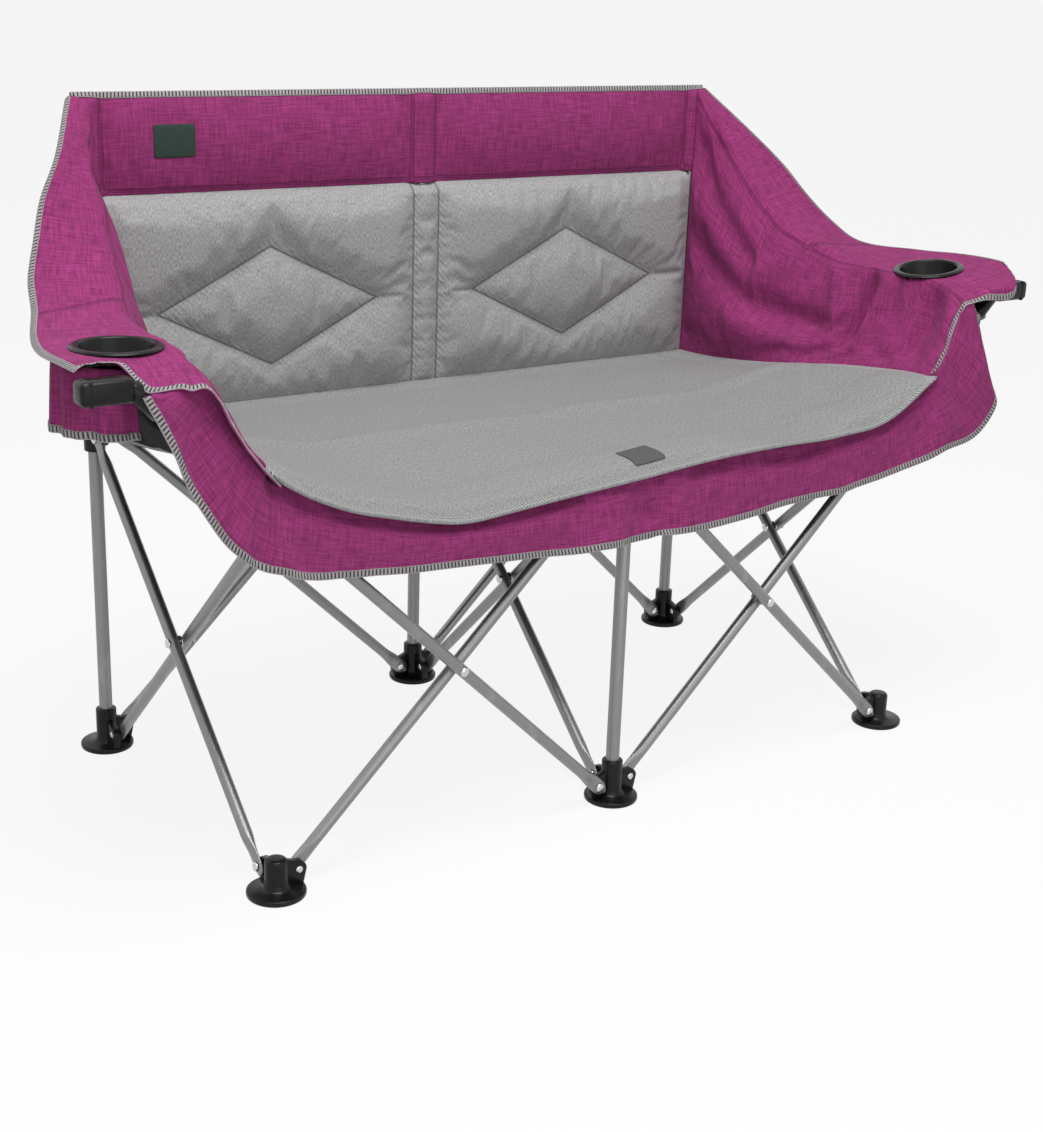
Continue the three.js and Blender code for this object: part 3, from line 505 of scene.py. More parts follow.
def look(name):
    """The named material, made once."""
    found = bpy.data.materials.get(name)
    if found:
        return found
    colours = bpy.context.scene.loveseat_finishes
    if name == "stitched tape":
        return stitched_tape(name, tuple(colours.tape), tuple(colours.thread))
    if name == "grey patch":
        return woven_patch(name, shade(tuple(colours.fleece), 0.2))
    maker, setting = MAKERS[name]
    return maker(name, tuple(getattr(colours, setting)))


# Rigid shapes


def turned(profile, sides=32):
    """A turned shape about Z from (radius, height) points."""
    shape = bmesh.new()
    verts = [shape.verts.new((radius, 0, height)) for radius, height in profile]
    edges = [shape.edges.new(pair) for pair in zip(verts, verts[1:])]
    bmesh.ops.spin(shape, geom=verts + edges, axis=(0, 0, 1), cent=(0, 0, 0), angle=2 * math.pi,
                   steps=sides, use_merge=True)
    return shape


def rounded(radius, height, corner, steps=4):
    """Profile of a rounded edge from the side of a turned shape in to its top."""
    arc = [math.pi / 2 * index / steps for index in range(steps + 1)]
    return [(radius - corner + corner * math.cos(a), height - corner + corner * math.sin(a)) for a in arc]


def plate(outline, half, corner):
    """A plate in the XZ plane with its edges rounded."""
    shape = bmesh.new()
    face = shape.faces.new([shape.verts.new((x, -half, z)) for x, z in outline])
    made = bmesh.ops.extrude_face_region(shape, geom=[face])
    moved = [item for item in made["geom"] if isinstance(item, bmesh.types.BMVert)]
    bmesh.ops.translate(shape, verts=moved, vec=(0, 2 * half, 0))
    bmesh.ops.recalc_face_normals(shape, faces=shape.faces)
    rim = [edge for edge in shape.edges if abs(edge.verts[0].co.y - edge.verts[1].co.y) < half]
    bmesh.ops.bevel(shape, geom=rim, offset=corner, segments=2, profile=0.5, affect="EDGES", material=-1)
    return shape


def block(size, corner):
    shape = bmesh.new()
    bmesh.ops.create_cube(shape, size=1)
    bmesh.ops.scale(shape, vec=size, verts=shape.verts)
    bmesh.ops.bevel(
        shape, geom=shape.edges[:], offset=corner, segments=4, profile=0.5, affect="EDGES", material=-1
    )
    return shape


def drawn(stations, sides=24):
    """A bar along Z through (height, half width, half thickness) sections."""
    shape = bmesh.new()
    height, wide, thick = stations[0]
    bmesh.ops.create_circle(shape, cap_ends=True, segments=sides, radius=1)
    bmesh.ops.scale(shape, vec=(wide, thick, 1), verts=shape.verts)
    bmesh.ops.translate(shape, vec=(0, 0, height), verts=shape.verts)
    end = shape.faces[:]
    for (_, w0, t0), (height, wide, thick) in zip(stations, stations[1:]):
        made = bmesh.ops.extrude_face_region(shape, geom=end)["geom"]
        end = [item for item in made if isinstance(item, bmesh.types.BMFace)]
        verts = [item for item in made if isinstance(item, bmesh.types.BMVert)]
        bmesh.ops.scale(shape, vec=(wide / w0, thick / t0, 1), verts=verts)
        bmesh.ops.translate(shape, vec=(0, 0, height - verts[0].co.z), verts=verts)
    return shape


class Form:
    """Gathers shapes, each placed by a matrix, into one piece."""

    def __init__(self):
        self.bm = bmesh.new()

    def add(self, shape, *places):
        bmesh.ops.remove_doubles(shape, verts=shape.verts, dist=1e-6)
        for place in places or (Matrix(),):
            mesh = bpy.data.meshes.new("shape")
            copy = shape.copy()
            copy.transform(place)
            bmesh.ops.recalc_face_normals(copy, faces=copy.faces)
            copy.to_mesh(mesh)
            copy.free()
            self.bm.from_mesh(mesh)
            bpy.data.meshes.remove(mesh)
        shape.free()
        return self

    def paint(self, index):
        """Gives the faces added since the last call their material's place in the list."""
        for face in self.bm.faces:
            if not face.tag:
                face.material_index = index
                face.tag = True
        return self

    def piece(self, name, *finishes, sharp=40):
        made = linked(name, self.bm, *finishes)
        made.data.set_sharp_from_angle(angle=math.radians(sharp))
        return made


def linked(name, bm, *finishes):
    mesh = bpy.data.meshes.new(name)
    bm.to_mesh(mesh)
    bm.free()
    for finish in finishes:
        mesh.materials.append(look(finish))
    mesh.shade_smooth()
    made = bpy.data.objects.new(name, mesh)
    bpy.context.scene.collection.objects.link(made)
    return made


def stands_for(piece, body, slot, *nodes):
    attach(piece, body)
    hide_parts(*nodes)
    return piece


def moved(x, y, z):
    return Matrix.Translation((x, y, z))


def turn_z(angle):
    return Matrix.Rotation(angle, 4, "Z")


SIDES = (("left", -1), ("right", 1))
PIN_RADIUS = 0.003
ALONG_Y = Matrix.Rotation(-math.pi / 2, 4, "X")
EAST, NORTH, WEST, SOUTH = 0, math.pi / 2, math.pi, -math.pi / 2
CORNER_TURNS = {
    "rear_left": (EAST, SOUTH),
    "rear_middle": (EAST, WEST, SOUTH),
    "rear_right": (WEST, SOUTH),
    "front_left": (EAST, NORTH),
    "front_middle": (EAST, WEST, NORTH),
    "front_right": (WEST, NORTH),
}


def corner_place(name):
    sizes = bpy.context.scene.loveseat_frame
    side = {"left": -1, "middle": 0, "right": 1}[name.split("_")[1]]
    depth = sizes.depth if name.startswith("rear") else -sizes.depth
    return moved(side * sizes.pitch, depth, 0)


def rivet_head(radius, height):
    shank = radius * 0.55
    return turned([(0, -height), (shank, -height), (shank, 0), (radius, 0), (radius, height * 0.25),
                   (radius * 0.82, height * 0.7), (radius * 0.45, height * 0.96), (0, height)], 20)


def pin(radius, bottom, top, sides=16):
    return turned([(0, bottom), (radius, bottom), (radius, top), (0, top)], sides)


def ears(form, sizes, turns, outline, height, side):
    """An ear with its rivet for each cell that leaves a corner."""
    reach = sizes.ear_half + 2 * sizes.pressed + 0.0006
    for turn in turns:
        form.add(plate(outline, sizes.ear_half, 0.0012), turn_z(turn))
    form.paint(0)
    for turn in turns:
        at = turn_z(turn) @ moved(sizes.pivot_offset, 0, height)
        out = Matrix.Rotation(-side * math.pi / 2, 4, "X")
        form.add(rivet_head(sizes.rivet_radius, sizes.rivet_height), at @ out @ moved(0, 0, reach))
        form.add(pin(PIN_RADIUS, 0, reach), at @ out)
        form.add(rivet_head(0.0048, 0.0016), at @ out.inverted() @ moved(0, 0, sizes.ear_half))
    form.paint(1)


def arc_points(x, z, radius, start, end, steps=8):
    angles = [lerp(start, end, index / steps) for index in range(steps + 1)]
    return [(x + radius * math.cos(a), z + radius * math.sin(a)) for a in angles]


def foot_ear(sizes):
    end = sizes.pivot_offset
    round_end = arc_points(end, sizes.foot_pivot, sizes.ear_radius, 0, math.pi / 2)
    return [(0, 0.004), (end + sizes.ear_radius / 2, 0.004), *round_end,
            (0, sizes.foot_pivot + 2 * sizes.ear_radius)]


def upper_ear(sizes, root):
    end, top = sizes.pivot_offset, sizes.joint_height
    round_end = arc_points(end, top, sizes.ear_radius, -math.pi / 2, math.pi / 2, 12)
    neck = end - sizes.ear_radius
    return [(0, top - root), (neck, top - root), *round_end, (neck, top + root), (0, top + root)]


class LOVESEAT_OT_feet(bpy.types.Operator):
    """Makes the six moulded feet with their ears and rivets"""

    bl_idname = "loveseat.feet"
    bl_label = "Feet"

    def execute(self, context):
        sizes = context.scene.loveseat_frame
        for name, turns in CORNER_TURNS.items():
            node = f"{name}_foot"
            top = high(node).z
            sole = 0.038
            base = 0.008
            form = Form()
            column = rounded(sizes.socket_radius, top, 0.002)
            bore = [(0.0095, top), (0.0095, top - 0.004), (0, top - 0.004)]
            if name in ("front_left", "front_right"):
                column = rounded(sizes.socket_radius, top, 0.006, 6)
                bore = [(0, top + 0.0005)]
            form.add(turned([
                (0, 0), (sole - 0.003, 0), *reversed([(r, base - z) for r, z in rounded(sole, base, 0.003)]),
                *rounded(sole, base, 0.0022), (sizes.socket_radius + 0.006, base + 0.0008),
                (sizes.socket_radius + 0.0015, base + 0.004), (sizes.socket_radius, base + 0.009),
                *column, *bore,
            ], 40))
            ears(form, sizes, turns, foot_ear(sizes), sizes.foot_pivot, 1)
            form.bm.transform(corner_place(name))
            stands_for(form.piece(f"{name}_boot", "moulded plastic", "bare steel"), name, "black_plastic", node)
        return {"FINISHED"}


class LOVESEAT_OT_fittings(bpy.types.Operator):
    """Makes the sliders, the front middle hub and the front corner brackets"""

    bl_idname = "loveseat.fittings"
    bl_label = "Sliders, hub and brackets"

    def execute(self, context):
        sizes = context.scene.loveseat_frame
        for name, turns in CORNER_TURNS.items():
            kind = "slider" if name.startswith("rear") else "hub" if name == "front_middle" else "bracket"
            node = f"{name}_{kind}"
            form = Form()
            if kind == "bracket":
                web = 0.006
                top = sizes.joint_height
                upper = rounded(sizes.ear_half, top + web, 0.001)
                lower = [(r, 2 * top - z) for r, z in reversed(upper)]
                form.add(turned([(0, top - web), *lower, *upper, (0, top + web)], 20))
                ears(form, sizes, turns, upper_ear(sizes, web), top, -1)
            else:
                bottom, top = low(node).z, high(node).z
                ring = rounded(sizes.socket_radius, top, 0.002)
                bore = 0.0098 if kind == "slider" else 0.0
                lower = [(r, bottom + top - z) for r, z in reversed(ring)]
                form.add(turned([(bore, bottom), *lower, *ring, (bore, top), (bore, bottom)], 36))
                ears(form, sizes, turns, upper_ear(sizes, sizes.ear_radius), sizes.joint_height, -1)
            form.bm.transform(corner_place(name))
            stands_for(form.piece(f"{name}_{kind}_moulding", "moulded plastic", "bare steel"), node,
                       "black_plastic", node)
        return {"FINISHED"}


class LOVESEAT_OT_posts(bpy.types.Operator):
    """Makes the three rear posts, the front post with its rod, and the posts' plugs"""

    bl_idname = "loveseat.posts"
    bl_label = "Posts"

    def execute(self, context):
        for name in ("rear_left", "rear_middle", "rear_right", "front_middle"):
            node = f"{name}_post"
            bottom, top = low(node).z, high(node).z
            radius = (high(node).x - low(node).x) / 2
            bore = radius - 0.0012
            profile = [(bore, bottom), (radius, bottom), *rounded(radius, top, 0.0005, 2),
                       (bore, top), (bore, bottom)]
            form = Form().add(turned(profile, 32), corner_place(name))
            stands_for(form.piece(f"{name}_upright", "coated steel"), name, "steel_tube", node)
        rod = "front_middle_rod"
        shape = pin((high(rod).x - low(rod).x) / 2, low(rod).z, high(rod).z, 28)
        form = Form().add(shape, corner_place("front_middle"))
        stands_for(form.piece("front_support_rod", "bare steel"), "front_middle_hub", "bare_steel", rod)
        for name in ("rear_left", "rear_middle", "rear_right"):
            plug = frame["nodes"][f"{name}_post_plug"]
            plug.data.materials.clear()
            plug.data.materials.append(look("moulded plastic"))
        return {"FINISHED"}


def tube_stations(sizes, link, length):
    """Sections of a scissor tube: pressed and rounded at its ends, or pressed through where an arm runs on."""
    radius, flat, end, press = sizes.tube_radius, sizes.pressed, sizes.tube_end, sizes.press_length
    wide = flat + math.pi * (radius - flat) / 2
    rounding = [(math.sin(a), math.cos(a)) for a in (1.45, 1.25, 1.0, 0.7, 0.35)]
    swell = [(share, ease(share, 0, 1)) for share in (0, 0.25, 0.5, 0.75, 1)]

    def swelling(start, reach):
        return [(start + reach * share, lerp(wide, radius, k), lerp(flat, radius, k)) for share, k in swell]

    lower = [(-end * s, wide * max(c, 0.12), flat) for s, c in rounding] + [(0, wide, flat)]
    lower += swelling(end, press)
    upper = [(link - height, w, t) for height, w, t in reversed(lower)]
    if length <= link + end:
        return lower + upper
    through = swelling(link - end, -press)[::-1] + swelling(link + 2 * end, press)
    return lower + through + [(length, radius, radius)]


class LOVESEAT_OT_tubes(bpy.types.Operator):
    """Makes the fourteen scissor tubes and the rivets where they cross"""

    bl_idname = "loveseat.tubes"
    bl_label = "Scissor tubes"

    def execute(self, context):
        sizes = context.scene.loveseat_frame
        span = sizes.pitch - 2 * sizes.pivot_offset
        rise = sizes.joint_height - sizes.foot_pivot
        link = math.hypot(span, rise)
        lean = math.atan2(span, rise)
        cells = {}
        for side, sign in SIDES:
            place = moved(sign * sizes.pitch / 2, sizes.depth, 0)
            tube = f"back_{side}_tube_rising"
            cells[f"back_{side}_rivet"] = (place, f"{tube}_left", f"{tube}_right")
            place = moved(sign * sizes.pitch / 2, -sizes.depth, 0)
            pair = (f"front_{side}_tube", f"{side}_arm_tube")
            cells[f"front_{side}_rivet"] = (place, *pair[::sign])
        for name, sign in (("left_side", -1), ("middle", 0), ("right_side", 1)):
            place = moved(sign * sizes.pitch, 0, 0) @ turn_z(NORTH)
            cells[f"{name}_rivet"] = (place, f"{name}_tube_rising_forward", f"{name}_tube_rising_back")
        for rivet, (place, *tubes) in cells.items():
            for rising, node in zip((-1, 1), tubes):
                length = link
                if node.endswith("arm_tube"):
                    reach = max(abs(low(node).x), abs(high(node).x)) - sizes.tube_radius * math.cos(lean)
                    length = (reach - sizes.pivot_offset) / math.sin(lean)
                stand = moved(-rising * span / 2, rising * sizes.tube_side, sizes.foot_pivot)
                form = Form().add(drawn(tube_stations(sizes, link, length)),
                                  place @ stand @ Matrix.Rotation(rising * lean, 4, "Y"))
                stands_for(form.piece(f"{node}_steel", "coated steel", sharp=50), node, "steel_tube", node)
            seat = sizes.tube_side + sizes.tube_radius
            form = Form()
            middle_up = place @ moved(0, 0, sizes.foot_pivot + rise / 2)
            for out in (ALONG_Y, ALONG_Y.inverted()):
                head = rivet_head(sizes.rivet_radius, sizes.rivet_height)
                form.add(head, middle_up @ out @ moved(0, 0, seat))
            washer = 0.0007
            form.add(pin(PIN_RADIUS, -seat, seat), middle_up @ ALONG_Y)
            form.add(pin(0.008, -washer, washer, 20), middle_up @ ALONG_Y)
            bodies = frame["record"]["behaviour"]["bodies"].items()
            owner = next(body for body, nodes in bodies if rivet in nodes)
            stands_for(form.piece(f"{rivet}_set", "bare steel"), owner, "bare_steel", rivet)
        return {"FINISHED"}


class LOVESEAT_OT_caps(bpy.types.Operator):
    """Makes the plastic elbows on the arm tubes' ends"""

    bl_idname = "loveseat.caps"
    bl_label = "Arm caps"

    def execute(self, context):
        sizes = context.scene.loveseat_frame
        span = sizes.pitch - 2 * sizes.pivot_offset
        lean = math.atan2(span, sizes.joint_height - sizes.foot_pivot)
        for side, sign in SIDES:
            node = f"{side}_arm_cap"
            outer = high(node).x if sign > 0 else -low(node).x
            size = high(node).y - low(node).y
            length = 0.062
            centre = high(node).z - size / 2
            end = moved(sign * (outer - length), middle(node).y, centre)
            form = Form()
            form.add(block((length, size, size), 0.006), end @ moved(sign * length / 2, 0, 0))
            collar = block((0.004, size + 0.0012, size + 0.0012), 0.0015)
            form.add(collar, end @ moved(sign * (length - 0.011), 0, 0))
            outside, bore = 0.0118, 0.0083
            mouth = [(r, -sizes.cap_sleeve - z) for r, z in reversed(rounded(outside, 0, 0.002))]
            sleeve = [(bore, -sizes.cap_sleeve), *mouth, (outside, -0.002),
                      (outside - 0.003, 0.003), (0, 0.003)]
            form.add(turned(sleeve, 28), end @ Matrix.Rotation(sign * lean, 4, "Y"))
            grip = form.piece(f"{side}_arm_grip", "moulded plastic")
            stands_for(grip, f"{side}_arm_tube", "black_plastic", node)
        return {"FINISHED"}


# Where each cup holder sits from its place on the frame, outward and back, and how its arm slopes outward
CUP_SHIFT = {-1: (0.022, -0.006), 1: (-0.006, 0.0)}
CUP_SLOPE = {-1: 0.0, 1: 0.15}


class LOVESEAT_OT_cup_rings(bpy.types.Operator):
    """Makes the two cup holders with their rolled rims"""

    bl_idname = "loveseat.cup_rings"
    bl_label = "Cup holders"

    def execute(self, context):
        for side, sign in SIDES:
            node = f"{side}_cup_holder"
            out, back = CUP_SHIFT[sign]
            centre = middle(node) + Vector((sign * out, back, 0))
            top, floor = high(node).z, low(node).z
            tilt = Matrix.Rotation(-math.atan(sign * CUP_SLOPE[sign]), 4, "Y")
            rim = (high(node).x - low(node).x) / 2
            mouth = rim - 0.0105
            wall = 0.0025
            foot = mouth - 0.008
            profile = [
                (0, floor), (foot, floor), (foot + wall, floor + 0.002), (mouth - 0.002, floor + 0.006),
                (mouth + wall, top - 0.0032), (rim - 0.001, top - 0.0032), (rim, top - 0.0022),
                (rim - 0.0006, top - 0.001), (rim - 0.003, top + 0.0004), (mouth + 0.004, top + 0.0008),
                (mouth + 0.0012, top), (mouth, top - 0.002), (mouth - 0.004, floor + 0.008),
                (foot - 0.001, floor + wall), (0, floor + wall),
            ]
            place = moved(centre.x, centre.y, top) @ tilt @ moved(0, 0, -top)
            form = Form().add(turned(profile, 64), place)
            stands_for(form.piece(f"{side}_cup_ring", "moulded plastic", sharp=60), f"{side}_arm",
                       "black_plastic", node)
        return {"FINISHED"}


# The cover

# How stiff the cloth is while it hangs, and for how many frames it does
STIFFNESS = 12
HANG_FRAMES = 24


class Sheet:
    """A cloth panel: a grid laid on a surface, let settle, then dressed with tape along its edges.

    surface gives a point for shares u and v; the side that u crossed with v points to is the seen side.
    sewn gives the distance from a point to its nearest sewn line, with a change of sign across it.
    """

    def __init__(self, name, surface, columns, rows, finishes, mirrored=False, sewn=None):
        self.columns, self.rows = columns, rows
        points = [[surface(u, v) for u in columns] for v in rows]
        across = measured(points[len(rows) // 2])
        along = measured([row[len(columns) // 2] for row in points])
        self.flat = (across[-1], along[-1])
        bm = bmesh.new()
        bmesh.ops.create_grid(bm, x_segments=len(columns) - 1, y_segments=len(rows) - 1, size=0.5)
        column = bm.verts.layers.int.new("column")
        row = bm.verts.layers.int.new("row")
        seam = bm.verts.layers.float.new("seam")
        cloth = bm.loops.layers.uv.new("cloth")
        for vert in bm.verts:
            vert[column] = round((vert.co.x + 0.5) * (len(columns) - 1))
            vert[row] = round((vert.co.y + 0.5) * (len(rows) - 1))
            vert.co = points[vert[row]][vert[column]]
            vert[seam] = sewn(columns[vert[column]], rows[vert[row]]) if sewn else 1
            if mirrored:
                vert.co.x = -vert.co.x
        for face in bm.faces:
            for loop in face.loops:
                loop[cloth].uv = (across[loop.vert[column]], along[loop.vert[row]])
        if mirrored:
            bmesh.ops.reverse_faces(bm, faces=bm.faces)
        self.area = sum(face.calc_area() for face in bm.faces)
        self.piece = linked(name, bm, *finishes)
        self.tapes = []

    def places(self):
        """Column and row of each vertex."""
        mesh = self.piece.data
        columns = mesh.attributes["column"].data
        rows = mesh.attributes["row"].data
        return [(columns[i].value, rows[i].value) for i in range(len(mesh.vertices))]

    def settle(self, held, pull, spare, cap):
        """Lets the cloth hang, held where held(u, v) is 1, with spare cloth between the seams.

        No point moves further than cap.
        """
        scene = bpy.context.scene
        piece = self.piece
        before = [vert.co.copy() for vert in piece.data.vertices]
        group = piece.vertex_groups.new(name="held")
        for index, (column, row) in enumerate(self.places()):
            group.add([index], min(1, max(0, held(self.columns[column], self.rows[row]))), "REPLACE")
        cloth = piece.modifiers.new("settle", "CLOTH")
        settings = cloth.settings
        settings.quality = 5
        settings.mass = 0.12
        settings.tension_stiffness = STIFFNESS
        settings.compression_stiffness = STIFFNESS
        settings.shear_stiffness = STIFFNESS / 2
        settings.bending_stiffness = 0.8
        settings.air_damping = 4
        settings.vertex_group_mass = "held"
        settings.shrink_min = -spare
        cloth.collision_settings.use_collision = False
        cloth.point_cache.frame_start = 1
        cloth.point_cache.frame_end = HANG_FRAMES
        usual = scene.gravity.copy()
        scene.gravity = pull
        for number in range(1, HANG_FRAMES + 1):
            scene.frame_set(number)
        view = bpy.context.evaluated_depsgraph_get()
        hung = piece.evaluated_get(view).to_mesh()
        after = [vert.co.copy() for vert in hung.vertices]
        piece.evaluated_get(view).to_mesh_clear()
        piece.modifiers.remove(cloth)
        piece.vertex_groups.remove(group)
        scene.gravity = usual
        scene.frame_set(1)
        for vert, old, new in zip(piece.data.vertices, before, after):
            shift = new - old
            vert.co = old + shift * min(1, cap / max(shift.length, 1e-9))

    def lines(self, edge):
        """The vertices inward from each point of an edge, in order along it."""
        grid = {place: index for index, place in enumerate(self.places())}
        last_column, last_row = len(self.columns) - 1, len(self.rows) - 1
        if edge in ("low", "high"):
            order = range(last_row + 1) if edge == "low" else range(last_row, -1, -1)
            return [[grid[column, row] for row in order] for column in range(last_column + 1)]
        order = range(last_column, -1, -1)
        return [[grid[column, row] for column in order] for row in range(last_row + 1)]

    def tape(self, edge, sizes):
        """Edge tape of one width along an edge of the cloth: low, high or end."""
        verts = self.piece.data.vertices
        normals = self.piece.data.vertex_normals
        ladder = []
        lines = self.lines(edge)
        for line in lines:
            rim, second = verts[line[0]].co, verts[line[1]].co
            out = (rim - second).normalized() * sizes.tape_proud
            up = Vector(normals[line[0]].vector) * sizes.tape_proud
            rungs = [rim + out - up * 0.3, rim + out * 0.4 + up]
            walked = 0
            wanted = [sizes.tape / 2, sizes.tape]
            for here, there in zip(line, line[1:]):
                step = (verts[there].co - verts[here].co).length
                while wanted and walked + step >= wanted[0]:
                    spot = verts[here].co.lerp(verts[there].co, (wanted[0] - walked) / step)
                    rungs.append(spot + Vector(normals[there].vector) * sizes.tape_proud)
                    wanted.pop(0)
                walked += step
            ladder.append(rungs)
        bm = bmesh.new()
        bmesh.ops.create_grid(bm, x_segments=len(ladder) - 1, y_segments=3, size=0.5)
        cloth = bm.loops.layers.uv.new("cloth")
        run = measured([rungs[1] for rungs in ladder])
        shares = {}
        for vert in bm.verts:
            along = round((vert.co.x + 0.5) * (len(ladder) - 1))
            across = round((vert.co.y + 0.5) * 3)
            vert.co = ladder[along][across]
            shares[vert] = (run[along], (0, 0.1, 0.5, 1)[across])
        for face in bm.faces:
            for loop in face.loops:
                loop[cloth].uv = shares[loop.vert]
        bm.normal_update()
        seen = Vector(normals[lines[0][0]].vector)
        if sum(face.normal.dot(seen) for face in list(bm.faces)[:6]) < 0:
            bmesh.ops.reverse_faces(bm, faces=bm.faces)
        piece = linked(f"{self.piece.name}_tape_{edge}", bm, "stitched tape")
        thicken(piece, sizes.cloth * 0.6)
        self.tapes.append(piece)
        return self

    def cut_round(self, centre, radius, slope):
        """Cuts a round hole about a vertical axis, its rim sloping sideways."""
        bm = bmesh.new()
        bm.from_mesh(self.piece.data)
        gone = [
            face for face in bm.faces
            if all((vert.co - Vector((*centre.xy, vert.co.z))).length < radius * 1.12 for vert in face.verts)
        ]
        bmesh.ops.delete(bm, geom=gone, context="FACES")
        for vert in bm.verts:
            out = Vector((vert.co.x - centre.x, vert.co.y - centre.y, 0))
            if vert.is_boundary and out.length < radius * 1.4:
                vert.co += out.normalized() * (radius - out.length)
                vert.co.z = centre.z + slope * (vert.co.x - centre.x)
        bm.to_mesh(self.piece.data)
        bm.free()

    def pieces(self):
        return [self.piece, *self.tapes]

    def declare(self):
        width, length = self.flat
        min(self.area, width * length)
        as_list(self.tapes)


def thicken(piece, thickness, backed=False):
    """Gives a sheet its thickness on the hidden side, lined if it is backed, and rounds it."""
    wall = piece.modifiers.new("thickness", "SOLIDIFY")
    wall.thickness = thickness
    wall.offset = -1
    if backed:
        wall.material_offset = 1
    soft = piece.modifiers.new("rounding", "SUBSURF")
    soft.levels = soft.render_levels = 1


# An arm's front edge: share round it, sideways, ahead of or behind the arm's front, height
NOSES = {
    -1: (
        (0.00, 0.535, -0.012, 0.539), (0.14, 0.558, -0.017, 0.563), (0.28, 0.580, -0.020, 0.590),
        (0.42, 0.600, -0.021, 0.622), (0.50, 0.612, -0.021, 0.647), (0.535, 0.622, -0.019, 0.663),
        (0.555, 0.632, -0.014, 0.668), (0.575, 0.643, -0.010, 0.659), (0.59, 0.650, -0.006, 0.666),
        (0.70, 0.691, -0.002, 0.662),
        (0.75, 0.697, 0.022, 0.677), (0.79, 0.701, 0.046, 0.6885), (0.88, 0.724, 0.046, 0.6905),
        (0.97, 0.750, 0.040, 0.6895), (1.00, 0.7565, 0.039, 0.6845),
    ),
    1: (
        (0.00, 0.541, 0.003, 0.541), (0.14, 0.562, 0.000, 0.562), (0.28, 0.577, -0.001, 0.592),
        (0.42, 0.590, -0.001, 0.633), (0.50, 0.606, -0.003, 0.660), (0.60, 0.640, -0.010, 0.666),
        (0.70, 0.674, -0.021, 0.665), (0.75, 0.687, -0.0225, 0.669), (0.79, 0.696, -0.018, 0.676),
        (0.88, 0.718, 0.012, 0.6930), (0.97, 0.745, 0.056, 0.7000), (1.00, 0.7505, 0.062, 0.6960),
    ),
}

# The seat's front edge from left to right: sideways, height
SEAT_EDGE = (
    (-0.540, 0.553), (-0.518, 0.531), (-0.441, 0.494), (-0.332, 0.465), (-0.275, 0.454), (-0.220, 0.459),
    (-0.105, 0.468), (0.012, 0.476), (0.095, 0.484), (0.150, 0.488), (0.257, 0.494), (0.383, 0.491),
    (0.444, 0.494), (0.500, 0.519), (0.540, 0.551),
)


def edge_height(x):
    """Height of the seat's front edge, smoothed between its places."""
    def at(place):
        (before,), (after,), share = bracket(SEAT_EDGE, place)
        return lerp(before, after, share)

    reach = min(0.025, max(0, SEAT_EDGE[-1][0] - abs(x)))
    return sum(at(x + reach * k / 2) for k in range(-2, 3)) / 5


# Folds of an arm's inner side: where each starts and ends, as shares up the side and along the arm from the
# back, then its half width and its height towards the sitter
INNER_FOLDS = (
    (0.90, 0.905, 0.25, 0.895, 0.012, -0.017),
    (0.90, 0.690, 0.32, 0.680, 0.012, -0.022), (0.92, 0.750, 0.30, 0.715, 0.011, 0.013),
    (0.86, 0.860, 0.60, 0.770, 0.006, -0.008), (0.80, 0.040, 0.66, 0.330, 0.014, -0.022),
    (0.66, 0.080, 0.56, 0.360, 0.010, 0.014), (0.52, 0.100, 0.42, 0.560, 0.017, -0.023),
    (0.28, 0.280, 0.28, 0.520, 0.014, 0.013), (0.95, 0.580, 0.50, 0.620, 0.012, 0.013),
)
# The cloth also has a fold behind its front edge, which the lining panel has not
CLOTH_FOLDS = (*INNER_FOLDS, (0.95, 0.952, 0.10, 0.952, 0.014, 0.022))


# Rough height and length of an arm's inner side
INNER_HEIGHT, INNER_LENGTH = 0.19, 0.60


def inner_folds(folds, up, along):
    """Height of the folds of an arm's inner side at a point."""
    here = Vector((up * INNER_HEIGHT, along * INNER_LENGTH))
    total = 0
    for up0, along0, up1, along1, width, height in folds:
        start = Vector((up0 * INNER_HEIGHT, along0 * INNER_LENGTH))
        end = Vector((up1 * INNER_HEIGHT, along1 * INNER_LENGTH))
        share = (here - start).dot(end - start) / (end - start).length_squared
        gap = (here - start.lerp(end, min(max(share, 0), 1))).length
        total += height * math.exp(-((gap / width) ** 2))
    return total


# Where the band's patch lies, sideways and up, and how thick the patches are
PATCH_ACROSS = (-0.434, -0.372)
PATCH_UP = (0.849, 0.894)
PATCH_THICK = 0.0014
# Flat size of an arm's cloth between its sewn lines, and how far the seat runs in under the back
ARM_CLOTH = (0.316, 0.636)
UNDER_BACK = 0.010


